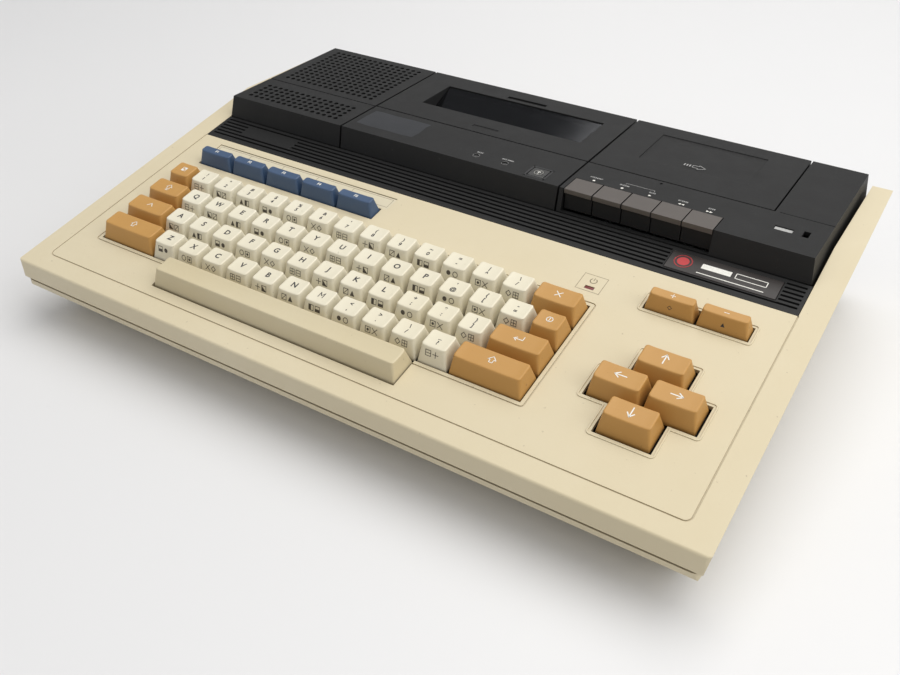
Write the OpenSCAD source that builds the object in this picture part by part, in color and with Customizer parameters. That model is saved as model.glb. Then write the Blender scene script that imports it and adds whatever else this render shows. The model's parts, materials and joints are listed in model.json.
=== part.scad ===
// Vintage home computer with a built-in plotter-printer and cassette recorder.
// Millimetres, +X right, +Y back, +Z up. The origin is under the middle of the part, on the desk.

/* [Case] */
// Width of the case
case_w = 440; // [436:1:450]
// Depth from the front edge to the rear wall
case_d = 300; // [298:1:304]
// How far the rear sockets stand out of the rear wall
socket_proud = 5; // [4:0.5:6]
// Height of the front edge of the sloping top
front_h = 39.4; // [38.5:0.1:41]
// Slope of the top in degrees
top_tilt = 10.3; // [10:0.1:10.5]
// Height of the upper case's front face
front_face_h = 11.5; // [10:0.5:13]
// Wall of both case halves
wall = 2.5; // [2:0.1:3]
// Radius of the front top edge
edge_r = 1.6; // [1:0.1:2]
// Radius of the upright corners
corner_r = 3; // [2.5:0.5:4]
// Radius of the lower case's upright corners
tray_corner_r = 6; // [4:0.5:7]
// Lean of the side walls in degrees
case_lean = 9; // [8:0.5:9.5]
// Gap of the seam between the case halves
seam_gap = 1.3; // [0.8:0.1:1.5]
// Height of the lower case's edge band
band_h = 4.6; // [3:0.1:6]
// How far the band sits back behind the upper case
band_in = 0.2; // [0.1:0.1:1]
// How far the band leans in at its lower edge
band_lean = 1.4; // [0.5:0.1:2]
// How far the floor is set back from the band at the front
front_setback = 24; // [20:1:28]
// How far the floor is set back from the band at the sides
side_setback = 10; // [6:1:12]
// Width of the strips beside the bay
strip_w = 14.5; // [14:0.5:18]
// Depth at which the side strips bend
bend_y = 212; // [205:1:220]
// Distance of the side strips' back edge from the rear wall
strip_back_in = 1; // [0.5:0.5:3]
// Height at which the side strips end
strip_back_h = 78; // [77:0.5:79]
// Clearance between fitted static pieces
fit_gap = 0.3; // [0.2:0.05:0.4]

/* [Feet and screws] */
// Height of the rubber feet
foot_h = 6; // [5:0.5:7]
// Radius of the rubber feet
foot_r = 8; // [6:0.5:9]
// Distance of the feet from the left and right edges
foot_side = 42; // [38:1:50]
// Distance of the front feet from the front edge
foot_front = 48; // [45:1:60]
// Distance of the rear feet from the rear wall
foot_back = 30; // [25:1:40]
// Radius of the case screws
screw_r = 1.5; // [1.3:0.1:1.7]
// Radius of the screw bosses
boss_r = 4.2; // [4:0.1:5]

/* [Grooves] */
// Distance of the scribed line from the front edge
scribe_y = 12.1; // [11:0.5:14]
// Width of the scribed lines
scribe_w = 0.8; // [0.5:0.1:1]
// Depth of the scribed lines
scribe_d = 0.6; // [0.4:0.1:0.8]

/* [Keyboard] */
// Key pitch
pitch = 19.05; // [19:0.01:19.08]
// Left edge of the keyboard opening from the case's left edge
keys_x = 32.7; // [31:0.1:34]
// Front edge of the front key row, along the slope
keys_y = 39.1; // [38.5:0.1:41]
// Gap round each keycap
cap_gap = 0.45; // [0.35:0.05:0.6]
// Height of the keycap tops over the case
cap_top = 9.9; // [9:0.1:11]
// Depth of the keycap skirts under the case's top
cap_skirt = 2; // [1.5:0.1:2.5]
// How far the front of a key slopes back
cap_front = 4.2; // [3.5:0.1:5]
// How far the back of a key slopes forward
cap_back = 2.2; // [1.5:0.1:3]
// How far the sides of a key slope in
cap_side = 1.9; // [1.5:0.1:2.5]
// Key travel
key_travel = 3.8; // [3:0.1:4]
// Radius of the key stems
stem_r = 2.6; // [2:0.1:3]
// Depth of the key stems under the case's top
stem_depth = 13.5; // [13:0.5:14]
// Clearance of a stem in its guide
stem_gap = 0.35; // [0.3:0.05:0.5]
// Length of the space bar in key pitches
space_units = 9; // [8.5:0.5:9]

/* [Function keys] */
// Front edge of the function keys along the slope
fn_y = 126; // [125.5:0.5:127]
// Depth of the half-height keys' openings
fn_d = 11.2; // [10.5:0.1:11.5]
// Height of the half-height keys over the case
fn_top = 9; // [8:0.1:10]
// Width of a function key in key pitches
fn_units = 1.5; // [1.5:0.01:1.52]
// Front edge of the label strip along the slope
label_y = 138.2; // [138:0.1:139]
// Depth of the label strip's recess along the slope
label_d = 11.4; // [10:0.1:12]

/* [Cursor keys] */
// Middle of the cursor keys from the case's right edge
cursor_in = 58.9; // [56:0.1:62]
// Front edge of the lowest cursor key along the slope
cursor_y = 39.4; // [38.5:0.1:42]
// Margin between the cursor keys and their opening
cursor_margin = 0.8; // [0.5:0.1:1.2]
// Width of the raised rims
rim_w = 0.8; // [0.6:0.1:1]
// Distance of the raised rims from their opening
rim_out = 1.4; // [1:0.1:1.8]
// Height of the raised rims
rim_h = 0.5; // [0.3:0.1:0.7]

/* [Ribbed strip] */
// Front edge of the ribbed strip along the slope
rib_y = 155; // [154:0.5:157]
// Thickness of the ribbed strip
rib_t = 3; // [2.5:0.1:3.5]
// Distance between grooves
rib_pitch = 3.35; // [3.2:0.05:3.4]
// Width of a groove
rib_groove = 1.5; // [1:0.1:1.8]
// Depth of a groove
rib_depth = 1.3; // [1:0.1:1.6]
// Number of grooves
rib_count = 6; // [5:1:6]
// Width of the badge plate
badge_w = 62; // [50:1:70]
// Depth of the badge plate along the slope
badge_d = 15; // [13:0.5:15.5]
// Distance of the badge plate from the strip's right end
badge_in = 14; // [10:1:20]
// Thickness of the badge plate
badge_t = 1; // [0.8:0.1:1.2]

/* [Black units] */
// Front of the black units behind the front edge
unit_front = 178; // [177.8:0.1:179]
// Front edge of the black units' top
unit_top_front = 180.8; // [180.5:0.1:182]
// Distance of the black units' back from the rear wall
unit_back_in = 4; // [3:0.5:5]
// Height of the black units' tops
unit_top = 86; // [85.5:0.1:87]
// Height at which the black units stand on their ledge
ledge_h = 57.5; // [57:0.5:58]
// Height at which the front faces start to lean back
lip_h = 71.7; // [71.5:0.1:72]
// Gap between two units
unit_gap = 1.3; // [1:0.1:1.6]
// Width of the speaker cover
speaker_w = 96; // [94:1:98]
// Width of the plotter
plotter_w = 159.7; // [158:0.1:161]
// How far the outer sides lean in
side_lean = 1.9; // [1.5:0.1:2.5]
// Top thickness of the black units
cover_t = 2.5; // [2:0.1:3]
// Front edge of the lids
lid_y = 219.8; // [219:0.1:221]
// Lid thickness
lid_t = 3; // [2.5:0.1:3.2]
// Gap round the lids
lid_gap = 1; // [0.6:0.1:1.2]
// Distance of the lids' hinge axis from the black units' back
hinge_in = 4.5; // [4.2:0.1:5]
// Depth of the lids' hinge axis under the tops
hinge_drop = 7; // [6.9:0.1:7.3]
// Radius of the hinge pins
hinge_r = 1.5; // [1.3:0.1:1.6]
// Running clearance of pins and shafts
run_gap = 0.06; // [0.04:0.01:0.08]
// Height of the rear wall under the lids
rear_wall_h = 73; // [71:0.5:73]

/* [Speaker] */
// Radius of the grille holes
hole_r = 1.6; // [1.4:0.05:1.7]
// Distance between grille holes
hole_pitch = 5; // [4.8:0.05:5.1]
// Holes in each row of the grille
hole_cols = 16; // [14:1:16]
// Rows of holes in the rear field
rear_rows = 13; // [10:1:13]
// Rows of holes in the front field
front_rows = 5; // [3:1:5]
// Radius of the loudspeaker
cone_r = 38; // [33:1:40]

/* [Plotter] */
// Width of the lid window
window_w = 121.3; // [115:0.1:125]
// Left edge of the lid window from the plotter's left edge
window_x = 22.5; // [20:0.5:25]
// Depth of the lid window from front to back
window_d = 35.5; // [34:0.5:37]
// Distance of the lid window's back edge from the black units' back
window_back_in = 18; // [17:0.5:20]
// Depth of the window's frame
window_drop = 12; // [11:0.5:12.5]
// Thickness of the window
window_t = 1.5; // [1.2:0.1:2]
// Distance of the feed button's middle from the plotter's right edge
feed_in = 17.7; // [15:0.1:20]
// Distance of the push buttons from the feed button
pin_in = 24.1; // [20:0.1:26]
// Distance between the push buttons
pin_pitch = 20.4; // [18:0.1:22]
// Size of the square feed button
feed_w = 10.6; // [9:0.1:12]
// Travel of the feed button
feed_travel = 1.5; // [1:0.1:2]
// Radius of the small push buttons
pin_r = 1.5; // [1.2:0.1:1.8]
// Radius of the platen roller
platen_r = 8; // [7:0.5:8]
// Radius of the paper roll
roll_r = 12.5; // [10:0.5:12.5]
// Width of the paper roll
roll_w = 114; // [112:1:115]
// Radius of the carriage rails
rail_r = 2.5; // [2:0.1:3]
// Width of the pen carriage
carriage_w = 22; // [20:1:26]

/* [Cassette recorder] */
// Width of the recorder's lid
tape_lid_w = 115.8; // [115:0.1:117]
// Width of a piano key
tape_key_w = 17.6; // [17:0.1:17.8]
// Distance between piano keys
tape_key_pitch = 18.2; // [18.1:0.05:18.3]
// Length of the piano keys' tops
tape_key_d = 16; // [15:0.5:16.5]
// Radius of the key shaft
shaft_r = 1.5; // [1.3:0.1:1.7]
// Depth of the key shaft behind the front edge
shaft_y = 213; // [212:0.5:214]
// Height of the key shaft
shaft_h = 75; // [74.5:0.1:75.5]
// Distance between the tape spindles
spindle_pitch = 42.5; // [42:0.1:43]
// Radius of the spindle hubs
spindle_r = 4.4; // [4:0.1:4.6]
// Height of the deck plate
deck_h = 62; // [61.5:0.1:62.5]
// Thickness of the deck plate
deck_t = 1.5; // [1.2:0.1:2]

/* [Electronics] */
// Height of the main board
board_h = 18; // [17:0.5:19]
// Thickness of the boards
board_t = 1.6; // [1.2:0.1:2]
// Thickness of the keyboard plate
plate_t = 1.5; // [1.2:0.1:1.8]
// Depth of the keyboard plate under the case's top
plate_depth = 9.5; // [9:0.1:10]
// Depth of the keyboard board under the case's top
kb_board_depth = 19.5; // [19:0.5:21]
// Width of the power supply
supply_w = 104; // [96:1:108]
// Height of the power supply's top
supply_top = 43; // [40:1:44]
// Radius of the volume wheel
wheel_r = 10; // [9:0.5:11]
// Travel of the reset button
reset_travel = 2; // [1.5:0.1:2.5]

/* [Hidden] */
$fn = 48;
over = 1;

unit_back = case_d - unit_back_in;
strip_back_y = case_d - strip_back_in;
hinge_y = unit_back - hinge_in;
hinge_h = unit_top - hinge_drop;
window_back = unit_back - window_back_in;
window_y = window_back - window_d;

CREAM = [0.83, 0.77, 0.62];
BLACK = [0.17, 0.18, 0.18];
OCHRE = [0.80, 0.55, 0.24];
BLUE = [0.17, 0.24, 0.40];
WHITE = [0.90, 0.86, 0.76];
STEEL = [0.66, 0.68, 0.70];
BOARD = [0.16, 0.38, 0.22];

total_d = case_d + socket_proud;
seam_h = front_h - front_face_h;
band_top = seam_h - seam_gap;
band_low = band_top - band_h;
floor_top = foot_h + wall;
bay_x0 = strip_w;
bay_x1 = case_w - strip_w;
ledge_low = ledge_h - wall;
crossbar_y = unit_front - fit_gap;
ledge_front = unit_front + 8;
ledge_back = unit_back - 12;
ledge_side = 8;

speaker_x0 = bay_x0 + fit_gap;
speaker_x1 = speaker_x0 + speaker_w;
plotter_x0 = speaker_x1 + unit_gap;
plotter_x1 = plotter_x0 + plotter_w;
recorder_x0 = plotter_x1 + unit_gap;
recorder_x1 = bay_x1 - fit_gap - unit_gap;

// Key rows from the front: width of the left key, count of white keys, width of the right key
ROWS = [[2.25, 11, 2.25], [1.75, 12, 1.75], [1.5, 13, 1], [1, 13, 1.5]];
keys_units = ROWS[0][0] + ROWS[0][1] + ROWS[0][2];
keys_w = keys_units * pitch;
keys_d = len(ROWS) * pitch;
space_x = keys_x + 3.25 * pitch;
space_w = space_units * pitch;
space_y = keys_y - pitch;
fn_x = keys_x + 0.9;
fn_w = fn_units * pitch;
fn_count = 5;
cursor_x = case_w - cursor_in;
edit_x = cursor_x - fn_w;
arrow_w = 1.5 * pitch;

window_x0 = plotter_x0 + window_x;
window_x1 = window_x0 + window_w;
tub_x0 = plotter_x0 + 8;
tub_x1 = plotter_x1 - 8;
tub_front = ledge_front + fit_gap;
tub_back = ledge_back - fit_gap;
tub_t = 2;
plotter_floor = 30;
recorder_floor = 47;
frame_t = 1.5;
frame_x0 = (plotter_x0 + plotter_x1 - roll_w) / 2 - 3;
frame_x1 = (plotter_x0 + plotter_x1 + roll_w) / 2 + 3;
platen_y = tub_back - tub_t - 35.5;
platen_h = 60;
roll_y = tub_back - tub_t - 13.5;
roll_h = 50;
rail_y = platen_y - platen_r - 8;
rail_h = platen_h + 1;
rail_drop = 12;
feed_x = plotter_x1 - feed_in;
feed_y = unit_top_front + 9.5;
pin_y = unit_top_front + 9.8;
pin_x1 = feed_x - pin_in;
pin_x0 = pin_x1 - pin_pitch;
carriage_range = 45;

tape_lid_x1 = recorder_x0 + tape_lid_w;
keys_gap = 0.5;
tape_keys_x = recorder_x0 + 3.2;
tape_keys_w = 5 * tape_key_pitch;
tape_key_y = unit_top_front - 0.6;
tape_mid = recorder_x0 + 57.4;
spindle_y = (lid_y + unit_back) / 2 - 1.9;
case_front_z = lip_h + 0.3;

socket_h = 32;
inlet_x = case_w - 37;
switch_x = case_w - 78;
wheel_x = case_w - 115;
reset_x = case_w - 140;
din_x = case_w - 165;
jack_x = [case_w - 190, case_w - 209, case_w - 227];
stick_x = [190, 165];
edge_slots = [[125, 46], [60, 72]];
edge_slot_low = board_h - 5;
edge_slot_h = 12;
switch_tilt = 8;
switch_h = 13;

// ---------- frames and shared shapes ----------

// Frame with its origin at the left end of the front edge, on the desk
module desk() translate([-case_w / 2, -total_d / 2, 0]) children();

// Frame that lies in the sloping top, with +Y up the slope
module slope() desk() translate([0, 0, front_h]) rotate([top_tilt, 0, 0]) children();

// Side view outline in depth and height, pushed along the width
module along_x(x0, x1, outline)
    translate([x0, 0, 0]) rotate([90, 0, 90]) linear_extrude(x1 - x0) polygon(outline);

// Front view outline in width and height, pushed along the depth
module along_y(y0, y1, outline)
    translate([0, y1, 0]) rotate([90, 0, 0]) linear_extrude(y1 - y0) polygon(outline);

module box(x0, x1, y0, y1, z0, z1) translate([x0, y0, z0]) cube([x1 - x0, y1 - y0, z1 - z0]);

module rounded(w, d, r) {
    translate([r, 0]) square([w - 2 * r, d]);
    translate([0, r]) square([w, d - 2 * r]);
    for (x = [r, w - r], y = [r, d - r]) translate([x, y]) circle(r);
}

module rod_x(x0, x1, y, z, r) translate([x0, y, z]) rotate([0, 90, 0]) cylinder(h = x1 - x0, r = r);

module rod_y(x, y0, y1, z, r) translate([x, y1, z]) rotate([90, 0, 0]) cylinder(h = y1 - y0, r = r);

// Ring that stands round a rounded opening
module ring(x, y, w, d, out, thick, r) difference() {
    translate([x - out - thick, y - out - thick]) rounded(w + 2 * (out + thick), d + 2 * (out + thick),
        r + thick);
    translate([x - out, y - out]) rounded(w + 2 * out, d + 2 * out, r);
}

// ---------- case ----------

function slope_z(y) = front_h + y * tan(top_tilt);
function round_edge(r) = [for (a = [180 : -(90 - top_tilt) / 6 : 90 + top_tilt])
    [r + r * cos(a), slope_z(r) - r / cos(top_tilt) + r * sin(a)]];

// How far the side walls stand in at a given depth under the sloping top
function side_in(depth) = depth * tan(case_lean);
corner_out = 0.3;
seam_side_in = side_in((front_h - band_top) * cos(top_tilt)) + band_in;
side_turn = atan(sin(top_tilt) * tan(case_lean));

recess_x0 = bay_x0 - wall / 2;
recess_x1 = bay_x1 + wall / 2;

// Height at which a screw boss ends inside the wall above it
function boss_top(y) = slope_z(y) - wall / 2 - (y > rib_y ? rib_t / cos(top_tilt) : 0);

// Side view of the upper case, with every wall moved in by t
function case_side(t, low) = concat([[t, low]],
    t > 0 ? [[t, slope_z(t) - t / cos(top_tilt)]] : round_edge(edge_r),
    [[bend_y, slope_z(bend_y) - t / cos(top_tilt)], [strip_back_y - t, strip_back_h - t], [case_d - t,
        seam_h],
     [case_d - t, low]]);

// Space between the leaning side walls, moved in by t
module leaning_sides(t) translate([0, 0, front_h]) rotate([top_tilt, 0, 0]) along_y(-unit_top,
    case_d + unit_top,
    [[t + side_in(unit_top), -unit_top], [t - side_in(unit_top), unit_top],
     [case_w - t + side_in(unit_top), unit_top], [case_w - t - side_in(unit_top), -unit_top]]);

module case_form(t, low) intersection() {
    along_x(t - over, case_w - t + over, case_side(t, low));
    leaning_sides(t);
    translate([t - corner_out, t, low]) linear_extrude(unit_top)
        rounded(case_w + 2 * (corner_out - t), case_d - 2 * t, corner_r - t / 2);
}

// Middle of the keyboard plate's holders along the slope
holder_x = [keys_x - 11, (keys_x + keys_w + edit_x) / 2, case_w - 22];
holder_y = [46, 146];
holder_r = 3;

screw_in = 26;
screw_at = [for (x = [screw_in, case_w - screw_in], y = [30, 163]) [x, y]];

module key_openings(low, high) {
    translate([0, 0, low]) linear_extrude(high - low) {
        translate([keys_x, keys_y]) square([keys_w, keys_d]);
        translate([space_x, space_y - cap_gap]) square([space_w, pitch + over]);
        translate([fn_x, fn_y]) square([fn_count * fn_w, fn_d]);
        translate([edit_x, fn_y]) square([2 * fn_w, fn_d]);
        translate([cursor_x - arrow_w - cursor_margin, cursor_y + pitch - cursor_margin])
            square([2 * (arrow_w + cursor_margin), pitch + 2 * cursor_margin]);
        translate([cursor_x - arrow_w / 2 - cursor_margin, cursor_y - cursor_margin])
            square([arrow_w + 2 * cursor_margin, 3 * pitch + 2 * cursor_margin]);
    }
}

module rims() linear_extrude(rim_h) {
    ring(edit_x, fn_y, 2 * fn_w, fn_d, rim_out, rim_w, 1.5);
    difference() {
        union() {
            translate([cursor_x - arrow_w - cursor_margin - rim_out - rim_w,
                cursor_y + pitch - cursor_margin - rim_out - rim_w])
                rounded(2 * (arrow_w + cursor_margin + rim_out + rim_w),
                    pitch + 2 * (cursor_margin + rim_out + rim_w), 2.3);
            translate([cursor_x - arrow_w / 2 - cursor_margin - rim_out - rim_w,
                cursor_y - cursor_margin - rim_out - rim_w])
                rounded(arrow_w + 2 * (cursor_margin + rim_out + rim_w),
                    3 * pitch + 2 * (cursor_margin + rim_out + rim_w), 2.3);
        }
        translate([cursor_x - arrow_w - cursor_margin - rim_out, cursor_y + pitch - cursor_margin - rim_out])
            rounded(2 * (arrow_w + cursor_margin + rim_out), pitch + 2 * (cursor_margin + rim_out), 1.5);
        translate([cursor_x - arrow_w / 2 - cursor_margin - rim_out, cursor_y - cursor_margin - rim_out])
            rounded(arrow_w + 2 * (cursor_margin + rim_out), 3 * pitch + 2 * (cursor_margin + rim_out), 1.5);
    }
}

module grooves() translate([0, 0, -scribe_d]) linear_extrude(scribe_d + over) {
    intersection() {
        difference() {
            translate([strip_w - scribe_w / 2, scribe_y]) rounded(case_w - 2 * strip_w + scribe_w, case_d, 4);
            translate([strip_w + scribe_w / 2, scribe_y + scribe_w])
                rounded(case_w - 2 * strip_w - scribe_w, case_d, 4 - scribe_w);
        }
        square([case_w, rib_y]);
    }
    difference() {
        ring(keys_x, keys_y, keys_w, keys_d, 2, scribe_w, 1.5);
        translate([space_x, space_y]) square([space_w, pitch + over]);
    }
}

module bay_frame() intersection() {
    case_form(0, seam_h);
    union() {
        box(bay_x0 - wall, bay_x0, crossbar_y - wall, case_d, ledge_low, unit_top);
        box(bay_x1, bay_x1 + wall, crossbar_y - wall, case_d, ledge_low, unit_top);
        box(bay_x0 - wall, bay_x1 + wall, crossbar_y - wall, crossbar_y, ledge_low, unit_top);
        difference() {
            box(bay_x0 - wall, bay_x1 + wall, crossbar_y - wall, case_d, ledge_low, ledge_h);
            box(bay_x0 + ledge_side, bay_x1 - ledge_side, ledge_front, ledge_back, ledge_low - over,
                ledge_h + over);
        }
    }
}

module upper_case() color(CREAM) {
    difference() {
        union() {
            desk() difference() {
                case_form(0, seam_h);
                case_form(wall, seam_h - over);
            }
            desk() bay_frame();
            slope() {
                box(recess_x0, recess_x1, rib_y - wall, rib_y, -rib_t - wall, -wall / 2);
                box(recess_x0, recess_x1, rib_y - over, (crossbar_y - wall / 2) / cos(top_tilt) - over / 2,
                    -rib_t - wall, -rib_t);
                rims();
                for (x = holder_x, y = holder_y) translate([x, y, plate_t - plate_depth])
                    cylinder(h = plate_depth - plate_t - wall / 2, r = holder_r);
            }
            desk() for (p = screw_at) rod_z(p[0], p[1], seam_h, boss_top(p[1]), boss_r);
        }
        slope() {
            key_openings(-cap_top, cap_top);
            grooves();
            box(bay_x0, bay_x1, rib_y, case_d, -rib_t, unit_top);
            translate([fn_x - 0.6, label_y, -label_deep]) cube([fn_count * fn_w + 4, label_d,
                label_deep + over]);
            box(lamp_x - lamp_w / 2, lamp_x + lamp_w / 2, lamp_y, lamp_y + lamp_d, -wall - over, over);
        }
        desk() {
            box(bay_x0, bay_x1, crossbar_y, case_d + over, ledge_h, unit_top + over);
            box(rear_x0 - fit_gap, rear_x1 + fit_gap, case_d - 12, case_d + over, seam_h - over, ledge_low);
            for (p = screw_at) translate([p[0], p[1], seam_h - over]) cylinder(h = 9, r = screw_r + 0.1);
        }
    }
}

lamp_x = 321;
lamp_y = 126.9;
lamp_w = 5.6;
lamp_d = 2.6;
label_deep = 1.2;
rear_x0 = bay_x0 + 4;
rear_x1 = bay_x1 - 4;
rear_top = ledge_low - fit_gap;
rear_bevel_top = foot_h + 14;

// Side view of the lower case, with every wall moved in by t
function tray_side(t) = [[band_in + t, band_top + (t > 0 ? over : 0)], [band_in + band_lean + t,
    band_low + t / 2],
    [band_in + front_setback + t / 2, foot_h + t], [case_d - 6 - t, foot_h + t], [case_d - t,
        rear_bevel_top + t / 2],
    [case_d - t, band_top + (t > 0 ? over : 0)]];
// Front view of its left side
function tray_front(t) = [[seam_side_in + t, band_top + (t > 0 ? over : 0)],
    [seam_side_in + band_lean + t, band_low + t / 2], [seam_side_in + side_setback + t / 2, foot_h + t],
    [2 * case_w, foot_h + t], [2 * case_w, band_top + (t > 0 ? over : 0)]];
module tray_half(t) rotate([0, 0, -side_turn]) along_y(-case_d, 2 * case_d, tray_front(t));

module tray_form(t) intersection() {
    along_x(0, case_w, tray_side(t));
    tray_half(t);
    translate([case_w, 0, 0]) mirror([1, 0, 0]) tray_half(t);
    translate([seam_side_in + t - corner_out, band_in + t, 0]) linear_extrude(unit_top)
        rounded(case_w - 2 * (seam_side_in + t - corner_out), case_d - band_in - 2 * t,
            tray_corner_r - t / 2);
}

module socket_cuts() {
    y0 = case_d - 12;
    y1 = case_d + over;
    box(inlet_x - 14 - fit_gap, inlet_x + 14 + fit_gap, y0, y1, socket_h - 10 - fit_gap,
        socket_h + 10 + fit_gap);
    box(switch_x - 12, switch_x + 12, y0, y1, socket_h - 9, socket_h + 9);
    box(wheel_x - wheel_r, wheel_x + wheel_r, y0, y1, socket_h - 3, socket_h + 3);
    rod_y(reset_x, y0, y1, socket_h, 4);
    rod_y(din_x, y0, y1, socket_h, 9 + fit_gap);
    for (x = jack_x) rod_y(x, y0, y1, socket_h, 4.5 + fit_gap);
    for (x = stick_x) box(x - 9 - fit_gap, x + 9 + fit_gap, y0, y1, socket_h - 4 - fit_gap,
        socket_h + 4 + fit_gap);
    for (s = edge_slots) box(s[0] - s[1] / 2, s[0] + s[1] / 2, y0, y1, edge_slot_low,
        edge_slot_low + edge_slot_h);
}

board_x0 = screw_in + boss_r + 2;
board_x1 = case_w - 150;
board_y0 = 52;
supply_x1 = case_w - screw_in - boss_r - 2;
supply_x0 = supply_x1 - supply_w;
supply_y0 = 180;
supply_y1 = case_d - 22;
board_posts = [for (x = [board_x0 + 8, board_x1 - 8], y = [board_y0 + 8, 160, case_d - 20]) [x, y]];
supply_posts = [for (x = [supply_x0 + 8, supply_x1 - 8], y = [supply_y0 + 8, supply_y1 - 8]) [x, y]];
supply_low = floor_top + 4;

module lower_case() color(CREAM) desk() difference() {
    union() {
        difference() {
            tray_form(0);
            tray_form(wall);
        }
        box(rear_x0, rear_x1, case_d - wall, case_d, rear_bevel_top, rear_top);
        for (p = screw_at) rod_z(p[0], p[1], foot_h, seam_h, boss_r);
        for (p = board_posts) translate([p[0], p[1],
            foot_h + wall / 2]) cylinder(h = board_h - foot_h - wall / 2, r = 3);
        for (p = supply_posts) translate([p[0], p[1], foot_h + wall / 2])
            cylinder(h = supply_low - foot_h - wall / 2, r = 4);
    }
    for (p = screw_at) {
        translate([p[0], p[1], 0]) cylinder(h = unit_top, r = screw_r + 0.1);
        translate([p[0], p[1], 0]) cylinder(h = head_seat, r = 3.4);
    }
    socket_cuts();
    vent_slots();
}

head_seat = band_low - 4;

module vent_slots() for (i = [0 : 9])
    box(case_w - 60 - i * 8, case_w - 57 - i * 8, 150, 172, foot_h - over, floor_top + over);

module feet() color([0.12, 0.12, 0.12]) desk()
    for (x = [foot_side, case_w - foot_side], y = [foot_front, case_d - foot_back])
        translate([x, y, 0]) cylinder(h = foot_h, r = foot_r);

module case_screws() color(STEEL) desk() for (p = screw_at) {
    translate([p[0], p[1], head_seat - 2.2]) cylinder(h = 2.2, r = 3);
    translate([p[0], p[1], head_seat - over]) cylinder(h = seam_h + 6 - head_seat, r = screw_r);
}

// ---------- ribbed strip, badge, label, lamps ----------

panel_x0 = bay_x0 + fit_gap;
panel_x1 = bay_x1 - fit_gap;
panel_back = (crossbar_y - rib_t * sin(top_tilt)) / cos(top_tilt) - 0.2;
badge_x1 = panel_x1 - badge_in;
badge_x0 = badge_x1 - badge_w;
badge_y = rib_y + 6.6;
name_x0 = panel_x0 + 22;
name_w = 44;

module rib_panel() color(BLACK) slope() difference() {
    box(panel_x0, panel_x1, rib_y + 0.2, panel_back, -rib_t, 0);
    for (i = [0 : rib_count - 1])
        difference() {
            box(panel_x0 + 2, panel_x1 - 2, rib_y + 5.1 + i * rib_pitch - rib_groove / 2,
                rib_y + 5.1 + i * rib_pitch + rib_groove / 2, -rib_depth, over);
            box(badge_x0 - 1, badge_x1 + 1, badge_y - 1, badge_y + badge_d + 1, -rib_t, 2 * over);
            box(name_x0, name_x0 + name_w, rib_y + 9.5, rib_y + 20.2, -rib_t, 2 * over);
        }
    box(badge_x0 - 0.2, badge_x1 + 0.2, badge_y - 0.2, badge_y + badge_d + 0.2, 0.3 - badge_t, over);
}

module badge_plate() color([0.22, 0.17, 0.15]) slope()
    box(badge_x0, badge_x1, badge_y, badge_y + badge_d, 0.3 - badge_t, 0.3);

module label_strip() color([0.86, 0.83, 0.74]) slope()
    box(fn_x - 0.6 + fit_gap, fn_x - 0.6 + fn_count * fn_w + 4 - fit_gap, label_y + fit_gap,
        label_y + label_d - fit_gap,
        -label_deep, 0.7 - label_deep);

indicator_x = recorder_x1 - 25;
indicator_y = lid_y - 17.6;
indicator_w = 10.4;
indicator_d = 4.4;

module lamps() color([0.45, 0.06, 0.05]) {
    slope() {
        box(lamp_x - lamp_w / 2 + 0.1, lamp_x + lamp_w / 2 - 0.1, lamp_y + 0.1, lamp_y + lamp_d - 0.1,
            -wall - 2, -0.4);
        box(lamp_x - lamp_w / 2 - 1, lamp_x + lamp_w / 2 + 1, lamp_y - 1, lamp_y + lamp_d + 1, -wall - 4,
            -wall);
    }
    desk() {
        box(indicator_x - indicator_w / 2 + 0.1, indicator_x + indicator_w / 2 - 0.1,
            indicator_y - indicator_d / 2 + 0.1,
            indicator_y + indicator_d / 2 - 0.1, unit_top - cover_t - 1, unit_top - 0.6);
        box(indicator_x - indicator_w / 2 - 1, indicator_x + indicator_w / 2 + 1,
            indicator_y - indicator_d / 2 - 1,
            indicator_y + indicator_d / 2 + 1, unit_top - cover_t - 3, unit_top - cover_t);
    }
}

// ---------- keys ----------

// Keycap in a cell of w by d, with its stem. The top is smaller than the base on every side.
module key(x, y, w, d, top, front_in, back_in, stems) {
    x0 = x + cap_gap;
    x1 = x + w - cap_gap;
    y0 = y + cap_gap;
    y1 = y + d - cap_gap;
    intersection() {
        along_x(x0, x1, [[y0, -cap_skirt], [y0 + front_in, top], [y1 - back_in, top], [y1, -cap_skirt]]);
        along_y(y0, y1, [[x0, -cap_skirt], [x0 + cap_side, top], [x1 - cap_side, top], [x1, -cap_skirt]]);
    }
    for (s = stems) rod_z(x + w / 2 + s, y + d / 2, -stem_depth, over - cap_skirt, stem_r);
}

module full_key(x, y, units) key(x, y, units * pitch, pitch, cap_top, cap_front, cap_back, [0]);
module half_key(x, y, w) key(x, y, w, fn_d, fn_top, 3.2, 1.4, [0]);

module white_keys(row) color(WHITE) slope() for (i = [0 : ROWS[row][1] - 1])
    full_key(keys_x + (ROWS[row][0] + i) * pitch, keys_y + row * pitch, 1);
module left_end_key(row) color(OCHRE) slope() full_key(keys_x, keys_y + row * pitch, ROWS[row][0]);
module right_end_key(row) color(OCHRE) slope()
    full_key(keys_x + keys_w - ROWS[row][2] * pitch, keys_y + row * pitch, ROWS[row][2]);
module function_key(i) color(BLUE) slope() half_key(fn_x + i * fn_w, fn_y, fn_w);
module edit_key(i) color(OCHRE) slope() half_key(edit_x + i * fn_w, fn_y, fn_w);
module cursor_key(column, row) color(OCHRE) slope()
    full_key(cursor_x + column * arrow_w, cursor_y + row * pitch, arrow_w / pitch);
module space_bar() color(WHITE) slope()
    key(space_x, space_y, space_w, pitch, cap_top, cap_front, cap_back, [-50, 50]);

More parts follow.
